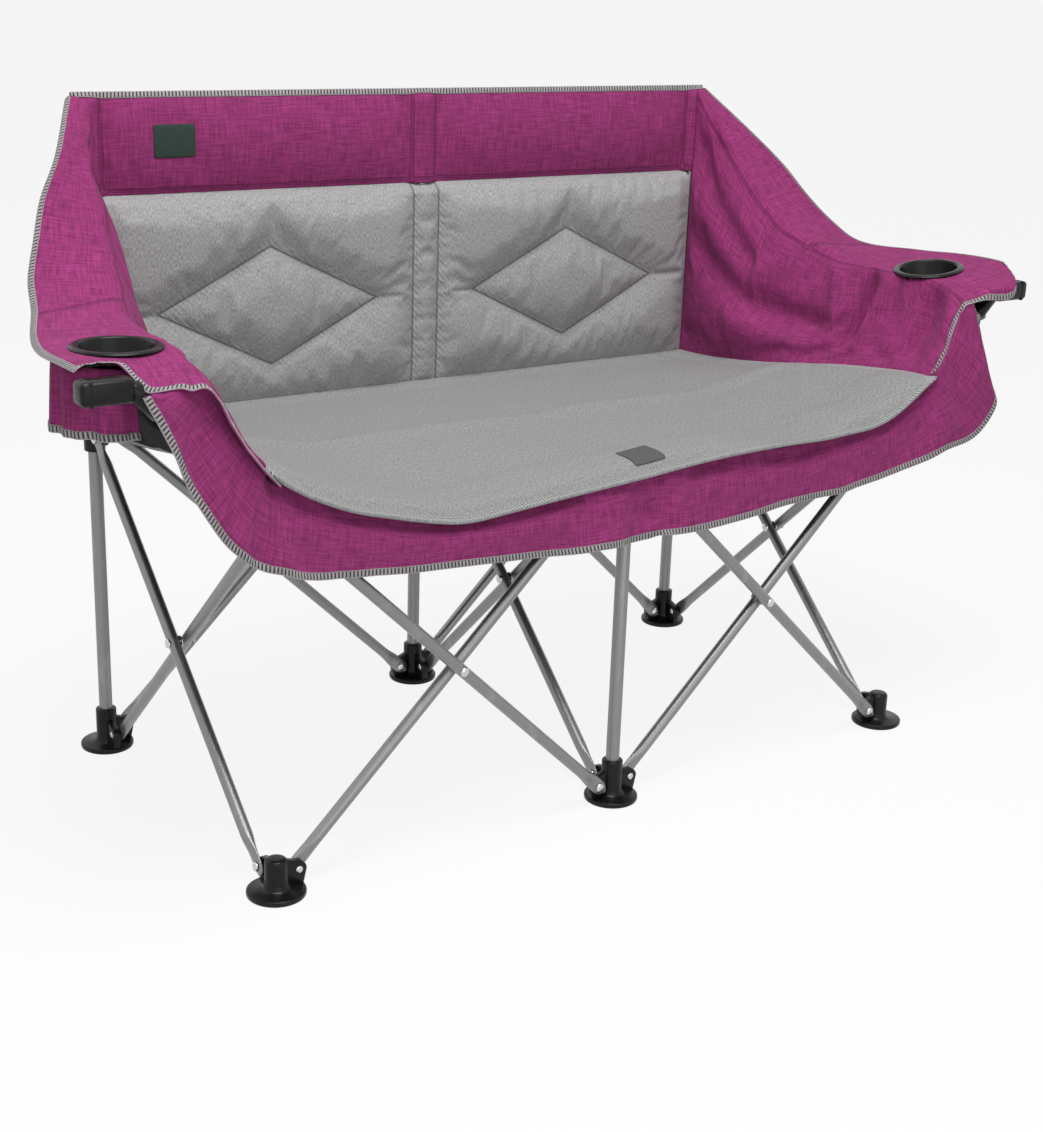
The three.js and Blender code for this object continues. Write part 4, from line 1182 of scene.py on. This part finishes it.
class Cover:
    """Places that the cover's panels share, taken from the frame."""

    def __init__(self, sizes):
        self.pitch = sizes.pitch
        self.depth = sizes.depth
        self.top = high("back_band").z
        self.band_bottom = low("back_band").z
        self.band_end = high("back_band").x
        self.seat_half = high("seat_rear").x
        self.seat_rear = high("seat_rear").y
        self.seat_front = low("seat_front").y
        self.seat_split = low("seat_rear").y
        self.seat_level = low("back_pad").z + 0.006
        self.rise = 0.056
        self.lip = 0.028
        self.roll = 0.024
        self.bend = math.radians(70)
        self.arm_outer = high("right_arm_cover").x
        self.arm_front = low("right_arm_cover").y
        self.arm_level = high("right_cup_holder").z - 0.0034
        self.ridge = self.arm_outer - 0.152
        self.hem = 0.008
        self.pad_back = high("back_pad").y
        self.pad_bottom = low("back_pad").z
        cup = middle("right_cup_holder")
        self.cups = {side: Vector((cup.x + out, cup.y + back, self.arm_level))
                     for side, (out, back) in CUP_SHIFT.items()}
        depths = (0.250, 0.200, 0.145, 0.100, 0.055, -0.020, -0.090, -0.155, -0.215, self.arm_front)
        self.inner = spline(*[
            (self.seat_half + self.spread(self.seat_half, y) - 0.003, y,
             self.seat_level + self.climb(self.seat_half, y) - 0.008)
            for y in depths
        ])
        self.crest = spline(
            (self.pitch - 0.006, self.pad_back - 0.004, self.top - self.hem),
            (self.pitch + 0.010, 0.200, 0.856),
            (self.pitch + 0.018, 0.145, 0.800),
            (self.pitch + 0.026, 0.100, 0.758),
            (self.pitch + 0.037, 0.055, 0.727),
            (self.ridge - 0.011, -0.020, self.arm_level + 0.009),
            (self.ridge - 0.002, -0.090, self.arm_level + 0.002),
            (self.ridge + 0.002, -0.155, self.arm_level - 0.001),
            (self.ridge + 0.008, -0.215, self.arm_level - 0.003),
            (self.ridge + 0.014, self.arm_front, self.arm_level - 0.024),
        )
        self.edge = spline(
            (self.band_end, self.depth - 0.004, self.top - 0.002),
            (self.pitch + 0.060, 0.190, 0.869),
            (self.pitch + 0.098, 0.150, 0.820),
            (self.pitch + 0.123, 0.114, 0.774),
            (self.pitch + 0.147, 0.074, 0.734),
            (self.arm_outer - 0.058, 0.020, self.arm_level + 0.014),
            (self.arm_outer - 0.024, -0.065, self.arm_level + 0.001),
            (self.arm_outer - 0.0015, -0.145, self.arm_level),
            (self.arm_outer, -0.215, self.arm_level),
            (self.arm_outer - self.hem, self.arm_front, self.arm_level - 0.004),
        )

    def nose(self, u, side):
        """The arm's front edge, up from the seat. The left one steps back over its cap."""
        before, after, share = bracket(NOSES[side], u)
        point = Vector(before).lerp(Vector(after), share)
        point.y += self.arm_front
        return point

    def spread(self, x, y):
        """How far the seat's front corners are pulled out to the arms."""
        forward = ease(-y, -0.02, -self.seat_front)
        return math.copysign(0.034, x) * ease(abs(x), 0.38, self.seat_half) * forward

    def climb(self, x, y):
        """How far the seat climbs to its front corners and sags between them and the middle."""
        side = ease(abs(x), self.seat_half - 0.200, self.seat_half)
        forward = 1 - ease(y, self.seat_front, self.seat_rear)
        sag = math.sin(math.pi * ease(abs(x), 0.086, self.seat_half)) ** 2
        return self.rise * side * forward - 0.012 * sag * forward**3

    def arm(self, u, v, side, folds=CLOTH_FOLDS):
        """A point of an arm: from the seat up its inner side, over the ridge to the outer edge and hem."""
        inner, crest, edge = self.inner(v), self.crest(v), self.edge(v)

        def bare(share):
            if share < 0.5:
                k = share / 0.5
                sag = 0.012 * math.sin(math.pi * k) * ease(v, 0, 0.5)
                fold = inner_folds(folds, k, v) * math.sin(math.pi * k) ** 0.5
                gusset = 0.024 * math.sin(math.pi * k) * ease(v, 0, 0.2) * (1 - ease(v, 0.3, 0.6))
                return inner.lerp(crest, k) + Vector((sag - fold - gusset, 0, fold / 4 - sag / 2))
            if share < 0.97:
                return crest.lerp(edge, (share - 0.5) / 0.47)
            return edge + Vector((0.0065, 0, -0.005)) * ((share - 0.97) / 0.03)

        reach = min(0.035, u, 1 - u)
        point = sum((bare(u + reach * k / 3) for k in range(-3, 4)), Vector()) / 7
        point.z += CUP_SLOPE[side] * (point.x - self.cups[side].x) * ease(u, 0.42, 0.6) * ease(v, 0.50, 0.68)
        nose = self.nose(u, side)
        over_cap = ease(u, 0.52, 0.64) if side > 0 else 0
        forward = ease(v, 0.895, lerp(1, 0.965, over_cap))
        down = ease(v, lerp(0.895, 0.950, over_cap), 1)
        ahead = lerp(point.y, nose.y, forward)
        point = Vector((lerp(point.x, nose.x, down), ahead, lerp(point.z, nose.z, down)))
        point.y = max(point.y, nose.y)
        return point

    def seat(self, x, along):
        """A point of the seat at a distance from its rear edge: level, rolled over the front, then down."""
        level = self.seat_run()
        past = along - level
        angle = min(max(past / self.roll, 0), self.bend)
        lip = max(0, past - self.roll * self.bend)
        y = self.seat_rear - min(along, level) - self.roll * math.sin(angle) - lip * math.cos(self.bend)
        drop = self.roll * (1 - math.cos(angle)) + lip * math.sin(self.bend)
        whole = self.roll * (1 - math.cos(self.bend)) + self.lip * math.sin(self.bend)
        share = min(along / level, 1)
        crown = 0.006 * (1 - (2 * abs(x) / self.seat_half - 1) ** 4) * math.sin(math.pi * share)
        brim = self.seat_level + self.climb(x, self.seat_front)
        fall = brim - edge_height(x + self.spread(x, self.seat_front))
        sink = min(max(0, fall - 0.022), lerp(0.008, 0.024, ease(abs(x), 0.05, 0.13)))
        level_here = self.seat_level + crown + self.climb(x, y)
        z = level_here - sink * ease(share, 0.45, 1) - (fall - sink) * drop / whole
        return Vector((x + self.spread(x, y), y, z))

    def seat_run(self):
        """Length of the level part of the seat."""
        return self.seat_rear - self.seat_front - 0.030

    def seat_length(self):
        return self.seat_run() + self.roll * self.bend + self.lip

    def belly(self, x, z):
        """How far the slack band stands out between its posts."""
        near = min(abs(x - post) for post in (-self.pitch, 0, self.pitch))
        share = (z - self.band_bottom) / (self.top - self.band_bottom)
        return 0.009 * math.sin(math.pi * share) * ease(near, 0.025, 0.100)

    def quilt(self, x, z, sizes):
        """Distance from a point of the back to its nearest quilted or strip seam, below 0 inside them."""
        centre = (self.seat_half + sizes.strip) / 2 - 0.008
        height = (self.pad_bottom + self.band_bottom) / 2 - 0.012
        across = (abs(x) - centre) / sizes.quilt_width
        up = (z - height) / sizes.quilt_height
        scale = sizes.quilt_width / math.hypot(1, sizes.quilt_width / sizes.quilt_height)
        diamond = (abs(across) + abs(up) - 1) * scale
        return min(diamond, abs(x) - sizes.strip)


def crossing(*gaps):
    """The nearest of several sewn lines, as a distance that changes sign across each of them."""
    sign = math.prod(math.copysign(1, gap) for gap in gaps)
    return sign * min(abs(gap) for gap in gaps)


def soft_noise(x, y, scale, seed):
    return noise.noise(Vector((x * scale, y * scale, seed)))


def gathers(piece):
    """Gives the piece a mesh of its own."""
    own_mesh(piece)


class LOVESEAT_OT_back_band(bpy.types.Operator):
    """Makes the cloth band along the top of the back, front and rear, with its post sleeves"""

    bl_idname = "loveseat.back_band"
    bl_label = "Back band"

    def execute(self, context):
        sizes = context.scene.loveseat_cover
        cover = Cover(context.scene.loveseat_frame)
        sleeve = (high("back_band").y - low("back_band").y) / 2
        posts = (-cover.pitch, 0, cover.pitch)

        def swell(x):
            near = min(abs(x - post) for post in posts)
            return lerp(sleeve, 0.005, ease(near, 0.008, 0.030))

        def face(sign):
            def surface(u, v):
                x = lerp(-cover.band_end, cover.band_end, u if sign < 0 else 1 - u)
                z = lerp(cover.band_bottom, cover.top, v)
                closing = math.sqrt(max(0, 1 - ease(z, cover.top - 0.011, cover.top) ** 2))
                ends = math.sqrt(max(0, 1 - ease(abs(x), cover.band_end - 0.004, cover.band_end) ** 2))
                out = max(0.0018, swell(x) * closing * ends) + (cover.belly(x, z) if sign < 0 else 0)
                return Vector((x, cover.depth + sign * out, z))

            return surface

        height = cover.top - cover.band_bottom
        columns = stops(2 * cover.band_end, sizes.grid * 0.7)
        rows = stops(height, sizes.grid, sizes.tape)
        for name, sign in (("back_band_front", -1), ("back_band_rear", 1)):
            def sewn(u, v):
                x = abs(lerp(-cover.band_end, cover.band_end, u))
                return crossing(x - 0.020, x - cover.pitch + 0.023, v * height - 0.007)

            sheet = Sheet(name, face(sign), columns, rows, ("melange cloth", "black lining"), sewn=sewn)

            def held(u, v):
                x = lerp(-cover.band_end, cover.band_end, u)
                seam = min(abs(abs(x - post) - 0.020) for post in posts)
                inside = min(abs(x - post) for post in posts) < 0.020
                z = lerp(cover.band_bottom, cover.top, v)
                patched = (PATCH_ACROSS[0] - 0.01 < x < PATCH_ACROSS[1] + 0.01
                           and PATCH_UP[0] - 0.01 < z < PATCH_UP[1] + 0.01)
                return 1 if v < 0.02 or v > 0.92 or seam < 0.004 or inside or patched else 0

            sheet.settle(held, (0, 1.6 * sign, -0.6), sizes.spare * 0.6, 0.006)
            if sign < 0:
                sheet.tape("high", sizes)
            thicken(sheet.piece, sizes.cloth * 0.7, backed=True)
            for piece in sheet.pieces():
                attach(piece, "rear_middle")
                gathers(piece)
            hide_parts("back_band")
            sheet.declare()
        return {"FINISHED"}


class LOVESEAT_OT_back_pad(bpy.types.Operator):
    """Makes the quilted fleece back and its black rear side"""

    bl_idname = "loveseat.back_pad"
    bl_label = "Back pad"

    def execute(self, context):
        sizes = context.scene.loveseat_cover
        cover = Cover(context.scene.loveseat_frame)
        half = high("back_pad").x
        bottom, top = low("back_pad").z, cover.band_bottom + 0.004

        def surface(u, v):
            x, z = lerp(-half, half, u), lerp(bottom, top, v)
            full = (1 - (2 * u - 1) ** 8) * (1 - (2 * v - 1) ** 6)
            swell = 1 - math.exp(-abs(cover.quilt(x, z, sizes)) / 0.016)
            thick = 0.008 + 0.011 * full * swell
            tucked = ease(v, 1 - 0.014 / (top - bottom), 1)
            return Vector((x, lerp(cover.pad_back - thick, cover.depth - 0.001, tucked), z))

        columns = stops(2 * half, sizes.grid * 0.62)
        rows = stops(top - bottom, sizes.grid * 0.62)
        def sewn(u, v):
            return cover.quilt(lerp(-half, half, u), lerp(bottom, top, v), sizes)

        sheet = Sheet("quilted_back", surface, columns, rows, ("brushed fleece", "black lining"), sewn=sewn)

        def held(u, v):
            x, z = lerp(-half, half, u), lerp(bottom, top, v)
            rim = u < 0.006 or u > 0.994 or v < 0.02 or v > 0.98
            return 1 if rim or abs(cover.quilt(x, z, sizes)) < 0.0042 else 0

        sheet.settle(held, (0, -2.5, 0), sizes.puff, 0.010)
        thicken(sheet.piece, sizes.fleece, backed=True)
        piece = sheet.piece
        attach(piece, "rear_middle")
        gathers(piece)
        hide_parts("back_pad")
        return {"FINISHED"}


class LOVESEAT_OT_seat(bpy.types.Operator):
    """Makes the fleece seat, in the two halves that hang when the chair is folded"""

    bl_idname = "loveseat.seat"
    bl_label = "Seat"

    def execute(self, context):
        sizes = context.scene.loveseat_cover
        cover = Cover(context.scene.loveseat_frame)
        length = cover.seat_length()
        split = cover.seat_rear - cover.seat_split
        for name, node, start, end in (
            ("seat_pad_rear", "seat_rear", -UNDER_BACK, split),
            ("seat_pad_front", "seat_front", split, length),
        ):
            def surface(u, v):
                x = lerp(cover.seat_half, -cover.seat_half, u)
                along = lerp(start, end, v)
                ripple = 0.0016 * soft_noise(x, along, 11, 3) + 0.0008 * soft_noise(x, along, 27, 5)
                free = min(1, along / 0.05, (length - along) / 0.03)
                return cover.seat(x, along) + Vector((0, 0, ripple * max(0, free)))

            columns = stops(2 * cover.seat_half, sizes.grid)
            rows = stops(end - start, sizes.grid * 0.8)

            def sewn(u, v):
                side = (0.5 - abs(u - 0.5)) * 2 * cover.seat_half
                return crossing(side - 0.008, length - lerp(start, end, v) - 0.010)

            sheet = Sheet(name, surface, columns, rows, ("seat fleece", "black lining"), sewn=sewn)

            def held(u, v):
                rim = u < 0.01 or u > 0.99 or v < 0.02 or v > 0.98
                return 1 if rim else ease(lerp(start, end, v), length - 0.12, length - 0.07)

            sheet.settle(held, (0, 0, -3), sizes.spare * 0.5, 0.007)
            thicken(sheet.piece, sizes.fleece * 0.7, backed=True)
            piece = sheet.piece
            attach(piece, node)
            gathers(piece)
            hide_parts(node)
        return {"FINISHED"}


class LOVESEAT_OT_arms(bpy.types.Operator):
    """Makes the arm covers with their taped edges, the pouch walls round the cups and the black side panels"""

    bl_idname = "loveseat.arms"
    bl_label = "Arms"

    def execute(self, context):
        sizes = context.scene.loveseat_cover
        cover = Cover(context.scene.loveseat_frame)
        for side, sign in SIDES:
            self.arm_cover(side, sign, sizes, cover)
            self.pouch_wall(side, sign, sizes, cover)
            self.side_panel(side, sign, sizes, cover)
        return {"FINISHED"}

    def follow(self, sheet, side, sign, cover, slot):
        """Bakes the placement of each of the sheet's pieces into its mesh."""
        for piece in sheet.pieces():
            sign * cover.pitch
            sign * cover.pitch
            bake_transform(piece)

    def arm_cover(self, side, sign, sizes, cover):
        columns = stops(1, 1 / 56)
        rows = stops(1, 1 / 90)
        width, length = ARM_CLOTH

        def sewn(u, v):
            across = (1 - v - lerp(0.500, 0.580, (u - 0.5) / 0.47)) * length
            if u < 0.5:
                across = math.copysign(max(abs(across), (0.5 - u) * width), across)
            return crossing((u - 0.5) * width, across)

        sheet = Sheet(f"{side}_arm_cloth", lambda u, v: cover.arm(u, 1 - v, sign), columns, rows,
                      ("melange cloth", "black lining"), mirrored=sign < 0, sewn=sewn)

        def held(u, v):
            point = cover.arm(u, 1 - v, sign)
            seams = u < 0.02 or u > 0.96 or v < 0.015 or v > 0.985
            near_cup = (point.xy - cover.cups[sign].xy).length < 0.075
            return 1 if seams or near_cup else 0.35 * ease(u, 0.5, 0.6)

        sheet.settle(held, (-0.8 * sign, 0, -1.0), sizes.spare, 0.008)
        sheet.tape("end", sizes).tape("low", sizes)
        cup = cover.cups[sign]
        sheet.cut_round(Vector((sign * cup.x, cup.y, cup.z)), 0.048, sign * CUP_SLOPE[sign])
        thicken(sheet.piece, sizes.cloth, backed=True)
        self.follow(sheet, side, sign, cover, "magenta_cloth")
        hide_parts(f"{side}_arm_cover")
        sheet.declare()

    def pouch_wall(self, side, sign, sizes, cover):
        drop = 0.080
        front = 0.012 if sign > 0 else 0
        top = cover.arm_level - cover.hem
        centre = Vector((cover.arm_outer - 0.0625, cover.cups[1].y - 0.005))

        def surface(u, v):
            angle = math.radians(lerp(80, -100, u))
            fold = 0.0025 * math.sin(9 * angle) + 0.0012 * math.sin(17 * angle + 1)
            radius = 0.060 + (0.008 + fold) * (1 - v) - front * ease(u, 0.5, 0.9)
            dip = 0.004 * ease(u, 0.6, 1)
            x, y = centre.x + radius * math.cos(angle), centre.y + radius * math.sin(angle)
            lift = CUP_SLOPE[sign] * (x - cover.cups[sign].x)
            return Vector((x, y, top + lift - dip - drop * (1 - v)))

        columns, rows = stops(0.28, sizes.grid * 0.6), stops(drop, sizes.grid * 0.8)
        sheet = Sheet(f"{side}_pouch_wall", surface, columns, rows, ("melange cloth", "black lining"),
                      mirrored=sign < 0)
        sheet.piece.data.flip_normals()
        sheet.settle(lambda u, v: 1 if v > 0.95 else 0.05, (0, 0, -3), sizes.spare * 0.5, 0.004)
        sheet.tape("low", sizes)
        thicken(sheet.piece, sizes.cloth, backed=True)
        for piece in sheet.pieces():
            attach(piece, f"{side}_arm")
        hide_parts(f"{side}_side_flap")
        sheet.declare()

    def side_panel(self, side, sign, sizes, cover):
        def surface(u, v):
            point = cover.arm(lerp(0.46, 0, u), 1 - v, sign, INNER_FOLDS)
            away = 0.007 + 0.020 * math.sin(math.pi * u) ** 0.5 * ease(v, 0.02, 0.14)
            return point + Vector((away, 0.026 * (1 - ease(v, 0, 0.14)), -0.005 - 0.008 * ease(u, 0.7, 1)))

        sheet = Sheet(f"{side}_outer_panel", surface, stops(1, 1 / 30), stops(1, 1 / 60),
                      ("black lining", "black lining"), mirrored=sign < 0)
        sheet.settle(lambda u, v: 1 if u < 0.03 or u > 0.97 or v < 0.02 or v > 0.98 else 0.2,
                     (0, 0, -1), sizes.spare * 0.5, 0.003)
        sheet.tape("end", sizes)
        thicken(sheet.piece, sizes.cloth * 0.7, backed=True)
        self.follow(sheet, side, sign, cover, "black_cloth")
        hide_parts(f"{side}_side_panel")
        sheet.declare()


# The skirt's lower edge from the middle out, and the ends of its upper and lower edges, as places sideways
# and up
SKIRT_HEM = ((0, 0.392), (0.10, 0.396), (0.20, 0.402), (0.30, 0.408), (0.40, 0.415))
SKIRT_ENDS = {
    -1: (((0.552, 0.569), (0.572, 0.592), (0.598, 0.638), (0.621, 0.663), (0.687, 0.662)),
         ((0.49, 0.426), (0.560, 0.446), (0.605, 0.478), (0.640, 0.532), (0.666, 0.588), (0.684, 0.630),
          (0.698, 0.660))),
    1: (((0.554, 0.567), (0.571, 0.590), (0.588, 0.630), (0.602, 0.657), (0.616, 0.662)),
        ((0.485, 0.428), (0.571, 0.445), (0.642, 0.463), (0.680, 0.500), (0.684, 0.540), (0.656, 0.590),
         (0.620, 0.656))),
}


class LOVESEAT_OT_skirt(bpy.types.Operator):
    """Makes the cloth skirt along the front, which climbs to the arm caps"""

    bl_idname = "loveseat.skirt"
    bl_label = "Front skirt"

    def execute(self, context):
        sizes = context.scene.loveseat_cover
        cover = Cover(context.scene.loveseat_frame)
        seen = low("front_skirt").y
        under = cover.seat_length() - 0.010

        def tucked(x):
            point = cover.seat(x, under)
            below = cover.seat(x, under - 0.024).z - 0.009
            corner = 0.007 * ease(abs(x), 0.46, cover.seat_half)
            return (abs(point.x), 0, min(point.z + 0.004, below) + corner)

        outlines = {}
        for sign in (-1, 1):
            rise, fall = SKIRT_ENDS[sign]
            lift = spline(*[tucked(sign * x) for x in (0, 0.10, 0.20, 0.30, 0.39, 0.46, 0.503)],
                          *[(x, 0, z) for x, z in rise])
            hang = spline(*[(x, 0, z) for x, z in SKIRT_HEM], *[(x, 0, z) for x, z in fall])
            outlines[sign] = (hang, lift)

        def surface(u, v):
            side = 2 * u - 1
            share = abs(side)
            hang, lift = outlines[-1 if side < 0 else 1]
            low_point, high_point = hang(share), lift(share)
            point = low_point.lerp(high_point, v)
            hub = 1 - ease(share, 0.05, 0.12)
            tuck = 0.003 + ease(v, 0.60, 1.0) * lerp(0.022 - 0.007 * hub, 0.005, ease(share, 0.55, 0.64))
            off_pocket = math.hypot((math.copysign(point.x, side) - 0.022) / 0.036, (point.z - 0.452) / 0.040)
            pocket = 0.011 * (1 - ease(off_pocket, 0.80, 1.12)) * ease(0.478 - point.z, 0, 0.060)
            belly = 0.004 * math.sin(math.pi * v)
            ripple = 0.004 * soft_noise(side * 3.2, v, 1.6, 8) * (1 - v)
            sides = 0.004 * ease(share, 0.62, 0.9)
            y = seen + tuck + sides - belly * (1 - share) + pocket + ripple
            return Vector((math.copysign(point.x, side), y, point.z))

        columns = stops(2, 2 / 170)
        rows = stops(1, 1 / 12)
        sheet = Sheet("front_skirt_cloth", surface, columns, rows, ("melange cloth", "black lining"))

        def held(u, v):
            return 1 if v > 0.95 or abs(2 * u - 1) > 0.985 else 0.08 if v < 0.05 else 0

        sheet.settle(held, (0, -0.4, -2.5), sizes.spare, 0.009)
        sheet.tape("low", sizes)
        thicken(sheet.piece, sizes.cloth, backed=True)
        for piece in sheet.pieces():
            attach(piece, "front_middle_hub")
            gathers(piece)
        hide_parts("front_skirt")
        sheet.declare()
        return {"FINISHED"}


class LOVESEAT_OT_patches(bpy.types.Operator):
    """Makes the two plain sewn patches"""

    bl_idname = "loveseat.patches"
    bl_label = "Patches"

    def execute(self, context):
        cover = Cover(context.scene.loveseat_frame)

        def on_band(u, v):
            x, z = lerp(*PATCH_ACROSS, u), lerp(*PATCH_UP, v)
            return Vector((x, cover.depth - 0.005 - cover.belly(x, z) - PATCH_THICK, z))

        def on_seat(u, v):
            x = lerp(0.049, -0.003, u)
            along = cover.seat_length() - lerp(0.084, 0.032, v)
            return cover.seat(x, along) + Vector((0, -0.0008, PATCH_THICK))

        for name, surface, finish, body, slot in (
            ("band_patch", on_band, "green patch", "rear_middle", "black_cloth"),
            ("seat_patch", on_seat, "grey patch", "seat_front", "black_cloth"),
        ):
            sheet = Sheet(name, surface, stops(1, 0.1), stops(1, 0.1), (finish,))
            thicken(sheet.piece, PATCH_THICK)
            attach(sheet.piece, body)
            gathers(sheet.piece)
        return {"FINISHED"}


# The photograph's camera: place and aim in metres, roll in degrees, lens and sensor in millimetres
CAMERA_AT, CAMERA_AIM = (-1.471, -2.070, 1.115), (0.022, 0, 0.265)
CAMERA_ROLL, CAMERA_LENS, CAMERA_SENSOR = 2, 57.43, 36


class LOVESEAT_OT_stage(bpy.types.Operator):
    """Sets the floor, the light and the camera"""

    bl_idname = "loveseat.stage"
    bl_label = "Stage"

    def execute(self, context):
        scene = context.scene
        scene.view_settings.view_transform = "Standard"
        floor = Finish("pale floor", Roughness=0.9, Specular_IOR_Level=0.1)
        grain = floor.noise(floor.object_place(), 3, 3)
        floor.feed("Base Color", floor.mix(grain, (0.86, 0.86, 0.86), (0.90, 0.90, 0.90)))
        floor.lift_for_viewer(0.88)
        bm = bmesh.new()
        bmesh.ops.create_grid(bm, x_segments=2, y_segments=2, size=120)
        mesh = bpy.data.meshes.new("floor")
        bm.to_mesh(mesh)
        bm.free()
        mesh.materials.append(floor.material)
        ground = bpy.data.objects.new("floor", mesh)
        scene.collection.objects.link(ground)
        ground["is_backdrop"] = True
        world = bpy.data.worlds.new("studio")
        world.use_nodes = True
        tree = world.node_tree
        back = tree.nodes["Background"]
        rays = tree.nodes.new("ShaderNodeLightPath")
        seen = None
        for ray in SEEN_RAYS:
            both = tree.nodes.new("ShaderNodeMath")
            both.operation = "MAXIMUM"
            tree.links.new(rays.outputs[ray], both.inputs[0])
            both.inputs[1].default_value = 0
            if seen:
                tree.links.new(seen.outputs[0], both.inputs[1])
            seen = both
        strength = tree.nodes.new("ShaderNodeMapRange")
        strength.inputs["To Min"].default_value = 0.26
        strength.inputs["To Max"].default_value = 1.0
        tree.links.new(seen.outputs[0], strength.inputs["Value"])
        tree.links.new(strength.outputs[0], back.inputs["Strength"])
        back.inputs["Color"].default_value = (1, 1, 1, 1)
        scene.world = world
        for name, at, aim, size, power in (
            ("key", (-0.5, -1.0, 3.4), (0, 0, 0.5), 2.0, 96),
            ("fill", (-0.6, -3.4, 1.2), (0, 0, 0.5), 2.4, 18),
            ("rim", (-2.2, 2.0, 2.4), (0, 0, 0.6), 2.0, 9),
        ):
            lamp = bpy.data.lights.new(name, "AREA")
            lamp.size = size
            lamp.energy = power
            holder = bpy.data.objects.new(name, lamp)
            holder.location = at
            holder.rotation_euler = (Vector(aim) - Vector(at)).to_track_quat("-Z", "Y").to_euler()
            scene.collection.objects.link(holder)
        lens = bpy.data.cameras.new("view")
        lens.lens = CAMERA_LENS
        lens.sensor_width = CAMERA_SENSOR
        camera = bpy.data.objects.new("view", lens)
        camera.location = CAMERA_AT
        aim = Vector(CAMERA_AIM) - camera.location
        straight = aim.to_track_quat("-Z", "Y")
        roll = Matrix.Rotation(math.radians(CAMERA_ROLL), 3, "Z")
        camera.rotation_euler = (straight.to_matrix() @ roll).to_euler()
        scene.collection.objects.link(camera)
        scene.camera = camera
        return {"FINISHED"}


OPERATORS = (
    LOVESEAT_OT_feet, LOVESEAT_OT_fittings, LOVESEAT_OT_posts, LOVESEAT_OT_tubes, LOVESEAT_OT_caps,
    LOVESEAT_OT_cup_rings, LOVESEAT_OT_back_band, LOVESEAT_OT_back_pad, LOVESEAT_OT_seat, LOVESEAT_OT_arms,
    LOVESEAT_OT_skirt, LOVESEAT_OT_patches, LOVESEAT_OT_stage,
)


class LOVESEAT_PT_pieces(bpy.types.Panel):
    """Lists the operators that build the loveseat"""

    bl_idname = "LOVESEAT_PT_pieces"
    bl_label = "Loveseat"
    bl_space_type = "VIEW_3D"
    bl_region_type = "UI"
    bl_category = "Loveseat"

    def draw(self, context):
        for operator in OPERATORS:
            self.layout.operator(operator.bl_idname)


CLASSES = (FrameSizes, CoverSizes, Finishes, *OPERATORS, LOVESEAT_PT_pieces)


def register():
    for cls in CLASSES:
        bpy.utils.register_class(cls)
    bpy.types.Scene.loveseat_frame = bpy.props.PointerProperty(type=FrameSizes)
    bpy.types.Scene.loveseat_cover = bpy.props.PointerProperty(type=CoverSizes)
    bpy.types.Scene.loveseat_finishes = bpy.props.PointerProperty(type=Finishes)


def unregister():
    del bpy.types.Scene.loveseat_finishes
    del bpy.types.Scene.loveseat_cover
    del bpy.types.Scene.loveseat_frame
    for cls in reversed(CLASSES):
        bpy.utils.unregister_class(cls)


def main():
    register()
    for operator in OPERATORS:
        group, name = operator.bl_idname.split(".")
        getattr(getattr(bpy.ops, group), name)()
    boxes = {"cad": CAD_BOX, "visual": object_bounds()}
    plain = {name: [[float(value) for value in corner] for corner in box] for name, box in boxes.items()}


if __name__ == "__main__":
    main()
